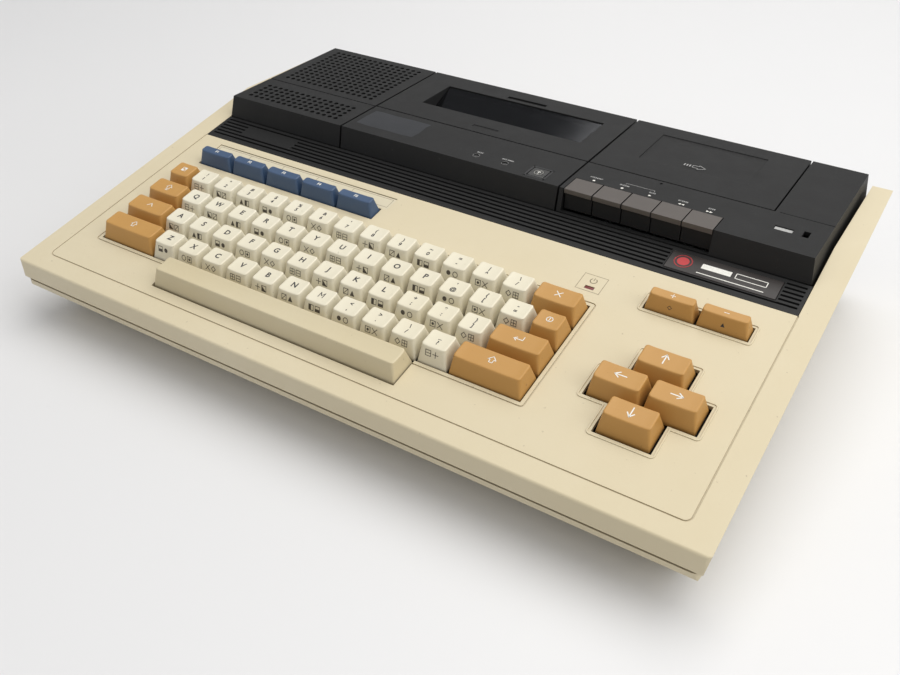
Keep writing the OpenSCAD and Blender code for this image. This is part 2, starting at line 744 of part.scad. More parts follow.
function row_centres(row) = concat(
    [[keys_x + ROWS[row][0] * pitch / 2, keys_y + (row + 0.5) * pitch]],
    [for (i = [0 : ROWS[row][1] - 1]) [keys_x + (ROWS[row][0] + i + 0.5) * pitch,
        keys_y + (row + 0.5) * pitch]],
    [[keys_x + keys_w - ROWS[row][2] * pitch / 2, keys_y + (row + 0.5) * pitch]]);
function stem_centres() = concat(
    [for (row = [0 : len(ROWS) - 1]) each row_centres(row)],
    [for (s = [-50, 50]) [space_x + space_w / 2 + s, space_y + pitch / 2]],
    [for (i = [0 : fn_count - 1]) [fn_x + (i + 0.5) * fn_w, fn_y + fn_d / 2]],
    [for (i = [0, 1]) [edit_x + (i + 0.5) * fn_w, fn_y + fn_d / 2]],
    [for (s = [-0.5, 0.5]) [cursor_x + s * arrow_w, cursor_y + 1.5 * pitch]],
    [for (row = [0.5, 2.5]) [cursor_x, cursor_y + row * pitch]]);

plate_x0 = holder_x[0] - 5;
plate_x1 = holder_x[2] + 5;
plate_y0 = space_y - 4;
plate_y2 = screw_at[0][1] / cos(top_tilt) + 8;
plate_mid0 = screw_in + boss_r + 4;
plate_mid1 = cursor_x + arrow_w / 2 + 6;
kb_post_x = [fn_x + fn_w, space_x + space_w / 2, holder_x[1], cursor_x];
plate_y1 = holder_y[1] + 5;
kb_board_y1 = fn_y + fn_d + 2;

module keyboard_plate() color(STEEL) slope() {
    translate([0, 0, -plate_depth]) linear_extrude(plate_t) difference() {
        union() {
            translate([plate_x0, plate_y2]) square([plate_x1 - plate_x0, plate_y1 - plate_y2]);
            translate([plate_mid0, plate_y0]) square([plate_mid1 - plate_mid0, plate_y2 - plate_y0 + over]);
        }
        for (c = stem_centres()) translate(c) circle(stem_r + stem_gap, $fn = 24);
    }
    for (x = kb_post_x, y = [space_y + 8, fn_y + 3.2]) rod_z(x, y, -kb_board_depth,
        plate_t / 2 - plate_depth, 2);
}

// ---------- boards and power supply ----------

module chip(x, y, w, d) box(x, x + w, y, y + d, board_h + board_t, board_h + board_t + 4);

module circuit_boards() color(BOARD) {
    desk() {
        box(board_x0, board_x1, board_y0, case_d - 12.5, board_h, board_h + board_t);
        for (s = edge_slots) box(s[0] - s[1] / 2 + 3, s[0] + s[1] / 2 - 3, case_d - 13, case_d - 1,
            board_h, board_h + board_t);
        for (i = [0 : 5], j = [0 : 2]) chip(board_x0 + 20 + i * 38, board_y0 + 20 + j * 22, 20, 7);
        chip(board_x0 + 30, board_y0 + 100, 52, 14);
        chip(board_x0 + 100, board_y0 + 100, 52, 14);
        chip(board_x0 + 30, board_y0 + 130, 36, 14);
    }
    slope() box(plate_mid0, plate_mid1, space_y + 2, kb_board_y1, -kb_board_depth - board_t, -kb_board_depth);
}

module power_supply() color(STEEL) desk() {
    difference() {
        box(supply_x0, supply_x1, supply_y0, supply_y1, supply_low, supply_top);
        for (i = [0 : 7])
            box(supply_x0 + 12 + i * 11, supply_x0 + 16 + i * 11, supply_y0 + 12, supply_y1 - 12,
                supply_top - 6, supply_top + over);
    }
}

// ---------- rear sockets and controls ----------

module rear_sockets() color(BLACK) desk() {
    y0 = case_d - 16;
    difference() {
        union() {
            box(inlet_x - 14, inlet_x + 14, y0 - 4, case_d, socket_h - 10, socket_h + 10);
            box(inlet_x - 16, inlet_x + 16, case_d, case_d + 2, socket_h - 12, socket_h + 12);
        }
        box(inlet_x - 11, inlet_x + 11, y0, case_d + 2 + over, socket_h - 7.5, socket_h + 7.5);
    }
    for (x = [-7, 0, 7]) box(inlet_x + x - 1, inlet_x + x + 1, y0 - 1, y0 + 8, socket_h - 2, socket_h + 2);
    difference() {
        union() {
            box(switch_x - 11.7, switch_x + 11.7, y0, case_d, socket_h - 8.7, socket_h + 8.7);
            box(switch_x - 14, switch_x + 14, case_d, case_d + 1.5, socket_h - 11, socket_h + 11);
        }
        box(switch_x - 9, switch_x + 9, y0 + 2, case_d + 2 + over, socket_h - 7.4, socket_h + 7.4);
        rod_x(switch_x - 11, switch_x + 11, case_d - 3, socket_h, 1 + run_gap);
    }
    difference() {
        union() {
            rod_y(din_x, y0, case_d + 1.5, socket_h, 9);
            rod_y(din_x, case_d, case_d + 1.5, socket_h, 10.5);
        }
        for (a = [0 : 45 : 180]) rod_y(din_x + 4.5 * cos(a), case_d - 6, case_d + 2,
            socket_h - 1 + 4.5 * sin(a), 0.8);
    }
    for (x = jack_x) difference() {
        union() {
            rod_y(x, y0, case_d + socket_proud, socket_h, 4.5);
            rod_y(x, case_d, case_d + 1.5, socket_h, 6);
        }
        rod_y(x, case_d - 8, case_d + socket_proud + over, socket_h, 1.8);
    }
    for (x = stick_x) difference() {
        union() {
            box(x - 9, x + 9, y0, case_d, socket_h - 4, socket_h + 4);
            box(x - 10.5, x + 10.5, case_d, case_d + 1.5, socket_h - 5.5, socket_h + 5.5);
        }
        for (i = [-2 : 2]) rod_y(x + 2.5 * i, case_d - 6, case_d + 2, socket_h, 0.7);
    }
    rod_z(wheel_x, wheel_y, socket_h - 6, socket_h + 5, 1.5);
    box(wheel_x - 6, wheel_x + 6, wheel_y - wheel_r - 4, wheel_y + 4, socket_h - 9, socket_h - 6);
    box(wheel_x - 6, wheel_x + 6, wheel_y - wheel_r - 4, wheel_y - wheel_r - 1, socket_h - 9, socket_h + 9);
    box(wheel_x - 6, wheel_x + 6, wheel_y - wheel_r - 4, case_d - wall, socket_h + 6, socket_h + 9);
    box(reset_x - 6, reset_x + 6, case_d - 14, case_d - 11, socket_h - 6, socket_h + 6);
    box(reset_x - 6, reset_x + 6, case_d - 14, case_d - wall, socket_h - 9, socket_h - 6);
}

module rod_z(x, y, z0, z1, r) translate([x, y, z0]) cylinder(h = z1 - z0, r = r);

wheel_y = case_d - wheel_r + 3;

module power_switch() color([0.1, 0.1, 0.1]) desk() translate([switch_x, case_d - 3, socket_h]) {
    rotate([-switch_tilt, 0, 0]) translate([-8.6, -4.5, -switch_h / 2]) cube([17.2, 8.5, switch_h]);
    rod_x(-10.6, 10.6, 0, 0, 1);
}

module reset_button() color([0.5, 0.1, 0.1]) desk() {
    rod_y(reset_x, case_d - 8, case_d + 1, socket_h, 3.7);
    rod_y(reset_x, case_d - 8, case_d - wall - 0.3, socket_h, 5.2);
}

module volume_wheel() color([0.12, 0.12, 0.12]) desk() difference() {
    union() {
        rod_z(wheel_x, wheel_y, socket_h - 2, socket_h + 2, wheel_r - 0.5);
        for (a = [0 : 15 : 345]) rod_z(wheel_x + (wheel_r - 0.7) * cos(a), wheel_y + (wheel_r - 0.7) * sin(a),
            socket_h - 2, socket_h + 2, 0.7);
    }
    rod_z(wheel_x, wheel_y, socket_h - 3, socket_h + 3, 1.5 + run_gap);
}

// ---------- black units ----------

function unit_side(t, low) = [[unit_front + t, low], [unit_front + t, lip_h], [unit_top_front + t,
    unit_top - t],
    [unit_back - t, unit_top - t], [unit_back - t, low]];

// Block of one unit with every wall moved in by t. Its outer sides may lean in.
module unit_form(x0, x1, lean0, lean1, t, low) intersection() {
    along_x(x0 - over, x1 + over, unit_side(t, low));
    along_y(0, case_d, [[x0 + t, low], [x0 + t, lip_h], [x0 + lean0 + t, unit_top], [x1 - lean1 - t,
        unit_top],
        [x1 - t, lip_h], [x1 - t, low]]);
}

grille_x = speaker_x0 + 11;
rear_grille_y = 228.4;
front_grille_y = 188.7;

module speaker_cover() color(BLACK) desk() difference() {
    unit_form(speaker_x0, speaker_x1, side_lean, 0, 0, ledge_h);
    unit_form(speaker_x0, speaker_x1, side_lean, 0, cover_t, ledge_h - over);
    translate([0, 0, unit_top - cover_t - over]) linear_extrude(cover_t + 2 * over) for (i = [0 :
        hole_cols - 1]) {
        for (j = [0 : rear_rows - 1]) translate([grille_x + i * hole_pitch, rear_grille_y + j * hole_pitch])
            circle(hole_r, $fn = 16);
        for (j = [0 : front_rows - 1]) translate([grille_x + i * hole_pitch, front_grille_y + j * hole_pitch])
            circle(hole_r, $fn = 16);
    }
    box(speaker_x0 - over, speaker_x1 + over, lid_y - 0.4, lid_y + 0.4, unit_top - 0.5, unit_top + over);
}

module speaker() color([0.2, 0.19, 0.18]) desk()
    translate([grille_x + (hole_cols - 1) * hole_pitch / 2, unit_back - cone_r - 8,
        unit_top - cover_t]) rotate_extrude()
        polygon([[0, -14], [12, -14], [cone_r - 6, -3], [cone_r - 3, -3], [cone_r - 3, 0], [cone_r, 0],
            [cone_r, -5],
            [cone_r - 3, -5], [16, -20], [16, -32], [0, -32]]);

// Case of a unit with a lid hinged at the back, over lid_x0 to lid_x1
module lidded_shell(x0, x1, lean1, lid_x0, lid_x1) difference() {
    unit_form(x0, x1, 0, lean1, 0, ledge_h);
    unit_form(x0, x1, 0, lean1, cover_t, ledge_h - over);
    box(lid_x0, lid_x1, lid_y, unit_back + over, unit_top - lid_t - 0.3, unit_top + over);
    difference() {
        box(lid_x0, lid_x1, hinge_y, unit_back + over, rear_wall_h, unit_top);
        for (w = [x0, x1 - cover_t]) rod_x(w, w + cover_t, hinge_y, hinge_h, 3.2);
    }
}

// Lid with ears, hinge pins and a rear skirt. The ears stand inside the walls at x0 and x1.
module lid_plate(x0, x1, wall0, wall1) {
    box(x0, x1, lid_y + lid_gap, unit_back, unit_top - lid_t, unit_top);
    for (side = [[wall0 + 0.3, wall0 + 2.8, wall0 - 2], [wall1 - 2.8, wall1 - 0.3, wall1 - 0.4]]) {
        box(side[0], side[1], hinge_y - 3, hinge_y + 3, hinge_h, unit_top - lid_t + 0.5);
        rod_x(side[0], side[1], hinge_y, hinge_h, 3);
        rod_x(side[2], side[2] + 2.4, hinge_y, hinge_h, hinge_r);
    }
    box(wall0 + 1, wall1 - 1, unit_back - 2.5, unit_back, hinge_h - 3.6, unit_top - lid_t + 0.5);
}

module tub(x0, x1, low) difference() {
    box(x0, x1, tub_front, tub_back, low, ledge_h + 2);
    box(x0 + tub_t, x1 - tub_t, tub_front + tub_t, tub_back - tub_t, low + tub_t, ledge_h + 2 + over);
}

// Flange that carries a tub from the walls of its unit
module flange(x0, x1, tx0, tx1) difference() {
    box(x0 + over, x1 - over, unit_front + over, unit_back - over, ledge_h, ledge_h + 2);
    box(tx0 + tub_t, tx1 - tub_t, tub_front + tub_t, tub_back - tub_t, ledge_h - over, ledge_h + 3);
}

module plotter_case() color(BLACK) desk() difference() {
    union() {
        lidded_shell(plotter_x0, plotter_x1, 0, plotter_x0 - over, plotter_x1 + over);
        tub(tub_x0, tub_x1, plotter_floor);
        flange(plotter_x0, plotter_x1, tub_x0, tub_x1);
        box(feed_x - feed_w / 2 - 2, feed_x + feed_w / 2 + 2, feed_y - feed_w / 2 - 2,
            feed_y + feed_w / 2 + 2,
            unit_top - 10, unit_top - cover_t + 0.5);
        for (x = [pin_x0, pin_x1]) rod_z(x, pin_y, unit_top - 8, unit_top - cover_t + 0.5, pin_r + 1.7);
    }
    box(feed_x - feed_w / 2 - 0.4, feed_x + feed_w / 2 + 0.4, feed_y - feed_w / 2 - 0.4,
        feed_y + feed_w / 2 + 0.4,
        unit_top - 8.5, unit_top + over);
    rod_z(feed_x, feed_y, unit_top - 12, unit_top, 1.7);
    for (x = [pin_x0, pin_x1]) rod_z(x, pin_y, unit_top - 9, unit_top + over, pin_r + 0.2);
    rod_x(plotter_x0 + 0.3, plotter_x0 + cover_t + over, hinge_y, hinge_h, hinge_r + run_gap);
    rod_x(plotter_x1 - cover_t - over, plotter_x1 - 0.3, hinge_y, hinge_h, hinge_r + run_gap);
}

window_end_z = unit_top - window_drop;
slant_y = window_y + 11;

module plotter_lid() color(BLACK) desk() difference() {
    union() {
        lid_plate(plotter_x0, plotter_x1, plotter_x0 + cover_t, plotter_x1 - cover_t);
        box(window_x0 - 2, window_x1 + 2, window_y - 2, window_back + 3, window_end_z,
            unit_top - lid_t + 0.5);
    }
    box(window_x0, window_x1, window_y, window_back, window_end_z + 1.6, unit_top + over);
    along_x(window_x0 - 0.2, window_x1 + 0.2, [[slant_y - 0.2, window_end_z - over], [window_back + 4,
        window_end_z - over],
        [window_back + 4, unit_top - lid_t - 1.2], [slant_y - 0.2, window_end_z + 1.8]]);
    box(plotter_x0 + 68, plotter_x0 + 98, window_back + 3, window_back + 6.6, unit_top - 1.2,
        unit_top + over);
    box(plotter_x0 + 72, plotter_x0 + 91, lid_y + 7.6, lid_y + 10.4, unit_top - 0.4, unit_top + over);
}

module lid_window() color([0.5, 0.52, 0.56, 0.5]) desk()
    along_x(window_x0 + 0.1, window_x1 - 0.1, [[slant_y, window_end_z + 0.2], [window_back - 0.4,
        unit_top - 2.4],
        [window_back - 0.4, unit_top - 2.4 + window_t], [slant_y, window_end_z + 0.2 + window_t]]);

module plotter_frame() color(STEEL) desk() {
    difference() {
        union() {
            box(frame_x0, frame_x1, rail_y - 6, roll_y + 12, plotter_floor + tub_t,
                plotter_floor + tub_t + frame_t);
            for (x = [frame_x0, frame_x1 - frame_t])
                box(x, x + frame_t, rail_y - 6, roll_y + 12, plotter_floor + tub_t, platen_h + 8);
        }
        for (p = [[platen_y, platen_h], [roll_y, roll_h]])
            rod_x(frame_x0 - over, frame_x1 + over, p[0], p[1], 2.5 + run_gap);
    }
    for (z = [rail_h, rail_h - rail_drop]) rod_x(frame_x0, frame_x1, rail_y, z, rail_r);
}

module pen_carriage() color([0.15, 0.15, 0.16]) desk() {
    x0 = (frame_x0 + frame_x1 - carriage_w) / 2;
    difference() {
        box(x0, x0 + carriage_w, rail_y - 5, rail_y + 5, rail_h - rail_drop - 5, rail_h + 6);
        for (z = [rail_h, rail_h - rail_drop]) rod_x(x0 - over, x0 + carriage_w + over, rail_y, z,
            rail_r + run_gap);
    }
    for (x = [-6, -2, 2, 6]) rod_y(x0 + carriage_w / 2 + x, rail_y + 4, rail_y + 7, rail_h - 6, 1.4);
}

module platen_roller() color([0.1, 0.1, 0.1]) desk() {
    rod_x(frame_x0 + frame_t + 0.5, frame_x1 - frame_t - 0.5, platen_y, platen_h, platen_r);
    rod_x(frame_x0 - 2, frame_x1 + 2, platen_y, platen_h, 2.5);
}

module paper_roll() color([0.93, 0.93, 0.9]) desk() {
    rod_x((frame_x0 + frame_x1 - roll_w) / 2 + 1, (frame_x0 + frame_x1 + roll_w) / 2 - 1, roll_y, roll_h,
        roll_r);
    rod_x(frame_x0 - 2, frame_x1 + 2, roll_y, roll_h, 2.5);
}

module feed_button() color([0.75, 0.76, 0.77]) desk() {
    translate([feed_x - feed_w / 2, feed_y - feed_w / 2,
        unit_top - 5.5]) linear_extrude(5.7) rounded(feed_w, feed_w, 1);
    rod_z(feed_x, feed_y, unit_top - 11, unit_top - 5, 1.5);
}

module pen_buttons() color([0.15, 0.15, 0.15]) desk()
    for (x = [pin_x0, pin_x1]) rod_z(x, pin_y, unit_top - 6.5, unit_top - 0.4, pin_r);

module recorder_case() color(BLACK) desk() difference() {
    union() {
        lidded_shell(recorder_x0, recorder_x1, side_lean, recorder_x0 - over, tape_lid_x1);
        box(tape_lid_x1, tape_lid_x1 + cover_t, lid_y - cover_t, unit_back - over, deck_h + deck_t + 0.3,
            unit_top - 0.5);
        tub(recorder_tub_x0, recorder_tub_x1, recorder_floor);
        flange(recorder_x0, recorder_x1, recorder_tub_x0, recorder_tub_x1);
        box(tape_keys_x + tape_keys_w + 1, tape_keys_x + tape_keys_w + 3.5, shaft_y - 5, shaft_y + 5,
            shaft_h - 5,
            unit_top - cover_t + 0.5);
        for (p = deck_posts) rod_z(p[0], p[1], recorder_floor + 1, deck_h, 3);
    }
    box(tape_keys_x - keys_gap, tape_keys_x + tape_keys_w + keys_gap - 0.6, unit_front - over,
        tape_key_y + tape_key_d + keys_gap, case_front_z, unit_top + over);
    rod_x(recorder_x0 + 0.5, tape_keys_x + tape_keys_w + 4, shaft_y, shaft_h, shaft_r + run_gap);
    rod_x(recorder_x0 + 0.3, recorder_x0 + cover_t + over, hinge_y, hinge_h, hinge_r + run_gap);
    rod_x(tape_lid_x1 - over, tape_lid_x1 + cover_t + over, hinge_y, hinge_h, hinge_r + run_gap);
    box(indicator_x - indicator_w / 2, indicator_x + indicator_w / 2, indicator_y - indicator_d / 2,
        indicator_y + indicator_d / 2, unit_top - cover_t - over, unit_top + over);
    box(recorder_x1 - 14.6, recorder_x1 - 11, lid_y - 20.4, lid_y - 13.6, unit_top - cover_t - over,
        unit_top + over);
    rod_z(tape_keys_x + 2.5 * tape_key_pitch, lid_y - 3, unit_top - 1, unit_top + over, 0.9);
    box(tape_lid_x1 + cover_t, recorder_x1 + over, lid_y, lid_y + 0.5, unit_top - 0.5, unit_top + over);
}

recorder_tub_x0 = recorder_x0 + 8;
recorder_tub_x1 = recorder_x1 - 9;
deck_x0 = recorder_tub_x0 + tub_t + 0.5;
deck_x1 = recorder_tub_x1 - tub_t - 0.5;
deck_y0 = tub_front + tub_t + 0.5;
deck_y1 = tub_back - tub_t - 0.5;
deck_posts = [for (x = [deck_x0 + 5, deck_x1 - 5], y = [deck_y0 + 5, deck_y1 - 5]) [x, y]];

module cassette_lid() color(BLACK) desk() difference() {
    lid_plate(recorder_x0, tape_lid_x1 - lid_gap, recorder_x0 + cover_t, tape_lid_x1);
    box(tape_mid - 34.5, tape_mid + 34.5, 243, 283, unit_top - 0.6, unit_top + over);
}

module tape_deck() color(STEEL) desk() {
    difference() {
        union() {
            box(deck_x0, deck_x1, deck_y0, deck_y1, deck_h, deck_h + deck_t);
            for (s = [-0.5, 0.5]) rod_z(tape_mid + s * spindle_pitch, spindle_y, deck_h - 5, deck_h + 0.5, 4);
        }
        for (s = [-0.5, 0.5]) rod_z(tape_mid + s * spindle_pitch, spindle_y, deck_h - 6, deck_h + 3,
            1.5 + run_gap);
    }
    box(tape_mid - 7, tape_mid + 7, spindle_y - 30, spindle_y - 22, deck_h + deck_t, deck_h + deck_t + 11);
    rod_z(deck_x1 - 22, spindle_y - 11, recorder_floor + tub_t + 0.5, deck_h, 13);
    rod_x(recorder_x0 + 0.8, tape_keys_x + tape_keys_w + 3.5, shaft_y, shaft_h, shaft_r);
}

module spindle(s) color(WHITE) desk() {
    x = tape_mid + s * spindle_pitch;
    rod_z(x, spindle_y, deck_h + deck_t + 0.3, deck_h + deck_t + 2, 9);
    rod_z(x, spindle_y, deck_h + deck_t + 1, deck_h + deck_t + 9, spindle_r - 1);
    for (a = [0 : 60 : 300]) translate([x, spindle_y, deck_h + deck_t + 1]) rotate([0, 0, a])
        translate([0, -0.6, 0]) cube([spindle_r, 1.2, 7]);
    rod_z(x, spindle_y, deck_h - 6.5, deck_h + deck_t + 1, 1.5);
}

// Piano key in side view: finger pad in front, lever back to the shaft, front skirt
module piano_key(i) color([0.33, 0.31, 0.29]) desk() difference() {
    x0 = tape_keys_x + i * tape_key_pitch;
    pad_back = tape_key_y + tape_key_d;
    union() {
        along_x(x0, x0 + tape_key_w, [[tape_key_y, unit_top - 2.8], [tape_key_y, unit_top + 0.2],
            [pad_back, unit_top + 0.2], [pad_back + 0.5, unit_top - 6], [shaft_y, shaft_h + 4], [shaft_y,
                shaft_h - 4],
            [tape_key_y + 6, case_front_z + 3], [tape_key_y + 3, case_front_z + 0.6], [tape_key_y + 1.6,
                case_front_z + 0.6],
            [tape_key_y + 1.6, unit_top - 2.8]]);
        rod_x(x0, x0 + tape_key_w, shaft_y, shaft_h, 4);
    }
    rod_x(x0 - over, x0 + tape_key_w + over, shaft_y, shaft_h, shaft_r + run_gap);
}

upper_case();
lower_case();
rib_panel();
badge_plate();
label_strip();
lamps();
feet();
case_screws();
keyboard_plate();
circuit_boards();
power_supply();
rear_sockets();
power_switch();
reset_button();
volume_wheel();
speaker_cover();
speaker();
plotter_case();
plotter_lid();
lid_window();
paper_roll();
platen_roller();
plotter_frame();
pen_carriage();
feed_button();
pen_buttons();
recorder_case();
cassette_lid();
tape_deck();
spindle(-0.5);  // supply_spindle
spindle(0.5);  // takeup_spindle
piano_key(0);  // stop_key
piano_key(1);  // record_key
piano_key(2);  // play_key
piano_key(3);  // rewind_key
piano_key(4);  // forward_key
white_keys(0);  // lower_row_keys
white_keys(1);  // home_row_keys
white_keys(2);  // upper_row_keys
white_keys(3);  // number_row_keys
left_end_key(0);  // left_shift_key
right_end_key(0);  // right_shift_key
left_end_key(1);  // control_key
right_end_key(1);  // return_key
left_end_key(2);  // capitals_key
right_end_key(2);  // mode_key
left_end_key(3);  // graphics_key
right_end_key(3);  // break_key
space_bar();
function_key(0);  // function_key_1
function_key(1);  // function_key_2
function_key(2);  // function_key_3
function_key(3);  // function_key_4
function_key(4);  // function_key_5
edit_key(0);  // insert_key
edit_key(1);  // delete_key
cursor_key(-1, 1);  // left_key
cursor_key(0, 1);  // right_key
cursor_key(-0.5, 2);  // up_key
cursor_key(-0.5, 0);  // down_key
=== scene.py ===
import math
import json

import bmesh
import bpy
from mathutils import Matrix, Vector


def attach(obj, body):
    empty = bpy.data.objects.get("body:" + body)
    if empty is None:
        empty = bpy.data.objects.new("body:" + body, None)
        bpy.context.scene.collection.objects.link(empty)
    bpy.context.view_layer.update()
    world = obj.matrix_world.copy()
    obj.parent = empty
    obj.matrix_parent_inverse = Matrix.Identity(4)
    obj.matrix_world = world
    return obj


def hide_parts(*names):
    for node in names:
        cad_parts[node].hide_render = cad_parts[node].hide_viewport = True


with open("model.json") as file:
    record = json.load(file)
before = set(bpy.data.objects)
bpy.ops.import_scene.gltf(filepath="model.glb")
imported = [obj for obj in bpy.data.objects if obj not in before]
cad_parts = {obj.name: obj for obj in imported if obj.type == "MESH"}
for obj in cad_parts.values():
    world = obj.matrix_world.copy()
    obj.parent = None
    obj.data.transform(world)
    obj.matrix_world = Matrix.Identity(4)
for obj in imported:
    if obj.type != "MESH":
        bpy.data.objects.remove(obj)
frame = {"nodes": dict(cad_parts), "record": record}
NODES = frame["nodes"]
BODY = {n: b for b, ns in frame["record"]["behaviour"]["bodies"].items() for n in ns}
SLOT = {s["node"]: s["material_slot"] for s in frame["record"]["subparts"]}
ROOT = "computer"
MM = 0.001

# Places in mm, as in part.scad: x from the left edge, y from the front or up the slope, z from the desk.
TILT = math.radians(10.3)
FRONT_H = 39.4
PITCH = 19.05
TOP = 86.0
INK = 0.05
CASE_D = 300.0
KEYS_X, KEYS_Y = 32.7, 39.1
WIDE_W = 28.575
FN_X, FN_Y, FN_D = 33.6, 126.0, 11.2
CURSOR_X, CURSOR_Y = 381.1, 39.4
LABEL_Y0, LABEL_Y1 = 140.3, 148.0
BOARD_TOP = 19.6
TRAY_FLOOR = 6.0
SCREW_HEAD = 15.8
SCREWS_X, SCREWS_Y = (26.0, 414.0), (30.0, 163.0)

# Where one node changes its finish: grey faces of the piano keys, the recorder's indicator, board components.
GREY_FROM_Z = 83.2
INDICATOR_FROM_X = 370.0
CHIPS_FROM_Z = 21.0

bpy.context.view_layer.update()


# ---------- places ----------

def desk(x, y, z):
    """Point in mm from the left end of the front edge, on the desk."""
    return Vector(((x - 220.0) * MM, (y - 152.5) * MM, z * MM))


def slope(x, y, h):
    """Point in the sloping top: along it, up it and above it, in mm."""
    return desk(x, y * math.cos(TILT) - h * math.sin(TILT), FRONT_H + y * math.sin(TILT) + h * math.cos(TILT))


def on_units(x, y, h):
    """Point over the level top of the black units."""
    return desk(x, y, TOP + h)


# ---------- camera and light ----------

def camera():
    data = bpy.data.cameras.new("camera")
    data.lens = 38.65
    data.sensor_width = 36.0
    data.clip_start = 0.01
    data.clip_end = 50.0
    ob = bpy.data.objects.new("camera", data)
    bpy.context.scene.collection.objects.link(ob)
    forward = Vector((-0.4341, 0.6829, -0.5875)).normalized()
    right = Vector((0.8432, 0.5377, 0.002))
    right = (right - forward * right.dot(forward)).normalized()
    up = right.cross(forward)
    rot = Matrix((right, up, -forward)).transposed()
    ob.matrix_world = Matrix.Translation((0.273, -0.4372, 0.3474)) @ rot.to_4x4()
    bpy.context.scene.camera = ob


def area(name, place, target, size_x, size_y, power, colour):
    data = bpy.data.lights.new(name, "AREA")
    data.shape = "RECTANGLE"
    data.size = size_x
    data.size_y = size_y
    data.energy = power
    data.color = colour
    ob = bpy.data.objects.new(name, data)
    ob.location = place
    aim = Vector(target) - Vector(place)
    ob.rotation_euler = aim.to_track_quat("-Z", "Y").to_euler()
    bpy.context.scene.collection.objects.link(ob)


camera()
area("key_light", (0.25, 0.62, 1.9), (0.0, 0.05, 0.0), 2.1, 1.9, 33.0, (1.0, 0.985, 0.955))
area("right_light", (1.7, 0.1, 1.2), (0.0, 0.0, 0.0), 1.4, 1.4, 14.0, (1.0, 0.99, 0.97))
area("front_light", (-0.4, -1.6, 1.9), (0.0, 0.0, 0.0), 1.8, 1.6, 4.2, (1.0, 0.985, 0.95))
bpy.context.scene.view_settings.view_transform = "Standard"

world = bpy.data.worlds.new("studio")
bpy.context.scene.world = world
world.use_nodes = True
tree = world.node_tree
background = tree.nodes["Background"]
background.inputs["Color"].default_value = (0.985, 0.985, 1.0, 1.0)
path = tree.nodes.new("ShaderNodeLightPath")
seen = path.outputs["Is Camera Ray"]
for ray in ("Is Glossy Ray", "Is Transmission Ray"):
    either = tree.nodes.new("ShaderNodeMath")
    either.operation = "MAXIMUM"
    tree.links.new(seen, either.inputs[0])
    tree.links.new(path.outputs[ray], either.inputs[1])
    seen = either.outputs["Value"]
level = tree.nodes.new("ShaderNodeMapRange")
level.inputs["To Min"].default_value = 0.50
level.inputs["To Max"].default_value = 0.80
tree.links.new(seen, level.inputs["Value"])
tree.links.new(level.outputs["Result"], background.inputs["Strength"])


# ---------- materials ----------

class Nodes:
    """Short forms for building a node tree."""

    def __init__(self, name):
        self.m = bpy.data.materials.new(name)
        self.m.use_nodes = True
        self.t = self.m.node_tree
        self.bsdf = self.t.nodes["Principled BSDF"]
        self.coord = self.t.nodes.new("ShaderNodeTexCoord").outputs["Object"]

    def link(self, a, b):
        self.t.links.new(a, b)

    def noise(self, scale, detail=3.0, rough=0.55, warp=0.0, stretch=None):
        n = self.t.nodes.new("ShaderNodeTexNoise")
        n.inputs["Scale"].default_value = scale
        n.inputs["Detail"].default_value = detail
        n.inputs["Roughness"].default_value = rough
        n.inputs["Distortion"].default_value = warp
        src = self.coord
        if stretch:
            mp = self.t.nodes.new("ShaderNodeMapping")
            mp.inputs["Scale"].default_value = stretch
            self.link(src, mp.inputs["Vector"])
            src = mp.outputs["Vector"]
        self.link(src, n.inputs["Vector"])
        return n.outputs["Fac"]

    def cells(self, scale):
        n = self.t.nodes.new("ShaderNodeTexVoronoi")
        n.inputs["Scale"].default_value = scale
        self.link(self.coord, n.inputs["Vector"])
        return n.outputs["Distance"]

    def ramp(self, fac, stops):
        n = self.t.nodes.new("ShaderNodeValToRGB")
        els = n.color_ramp.elements
        while len(els) < len(stops):
            els.new(0.5)
        for e, (p, c) in zip(els, stops):
            e.position = p
            e.color = (*c, 1.0) if not isinstance(c, float) else (c, c, c, 1.0)
        self.link(fac, n.inputs["Fac"])
        return n.outputs["Color"]

    def mix(self, fac, a, b, mode="MIX"):
        n = self.t.nodes.new("ShaderNodeMix")
        n.data_type = "RGBA"
        n.blend_type = mode
        for value, i in ((fac, 0), (a, 6), (b, 7)):
            if isinstance(value, float):
                n.inputs[i].default_value = value
            elif isinstance(value, tuple):
                n.inputs[i].default_value = (*value, 1.0)
            else:
                self.link(value, n.inputs[i])
        return n.outputs[2]

    def value(self, fac, low, high):
        n = self.t.nodes.new("ShaderNodeMapRange")
        n.inputs["To Min"].default_value = low
        n.inputs["To Max"].default_value = high
        self.link(fac, n.inputs["Value"])
        return n.outputs["Result"]

    def bump(self, height, strength, distance, normal=None):
        n = self.t.nodes.new("ShaderNodeBump")
        n.inputs["Strength"].default_value = strength
        n.inputs["Distance"].default_value = distance
        self.link(height, n.inputs["Height"])
        if normal:
            self.link(normal, n.inputs["Normal"])
        return n.outputs["Normal"]

    # Ambient occlusion factor, used for painted shade in crevices.
    def crevice_shade(self, distance):
        n = self.t.nodes.new("ShaderNodeAmbientOcclusion")
        n.samples = 4
        n.inputs["Distance"].default_value = distance
        return n.outputs["AO"]


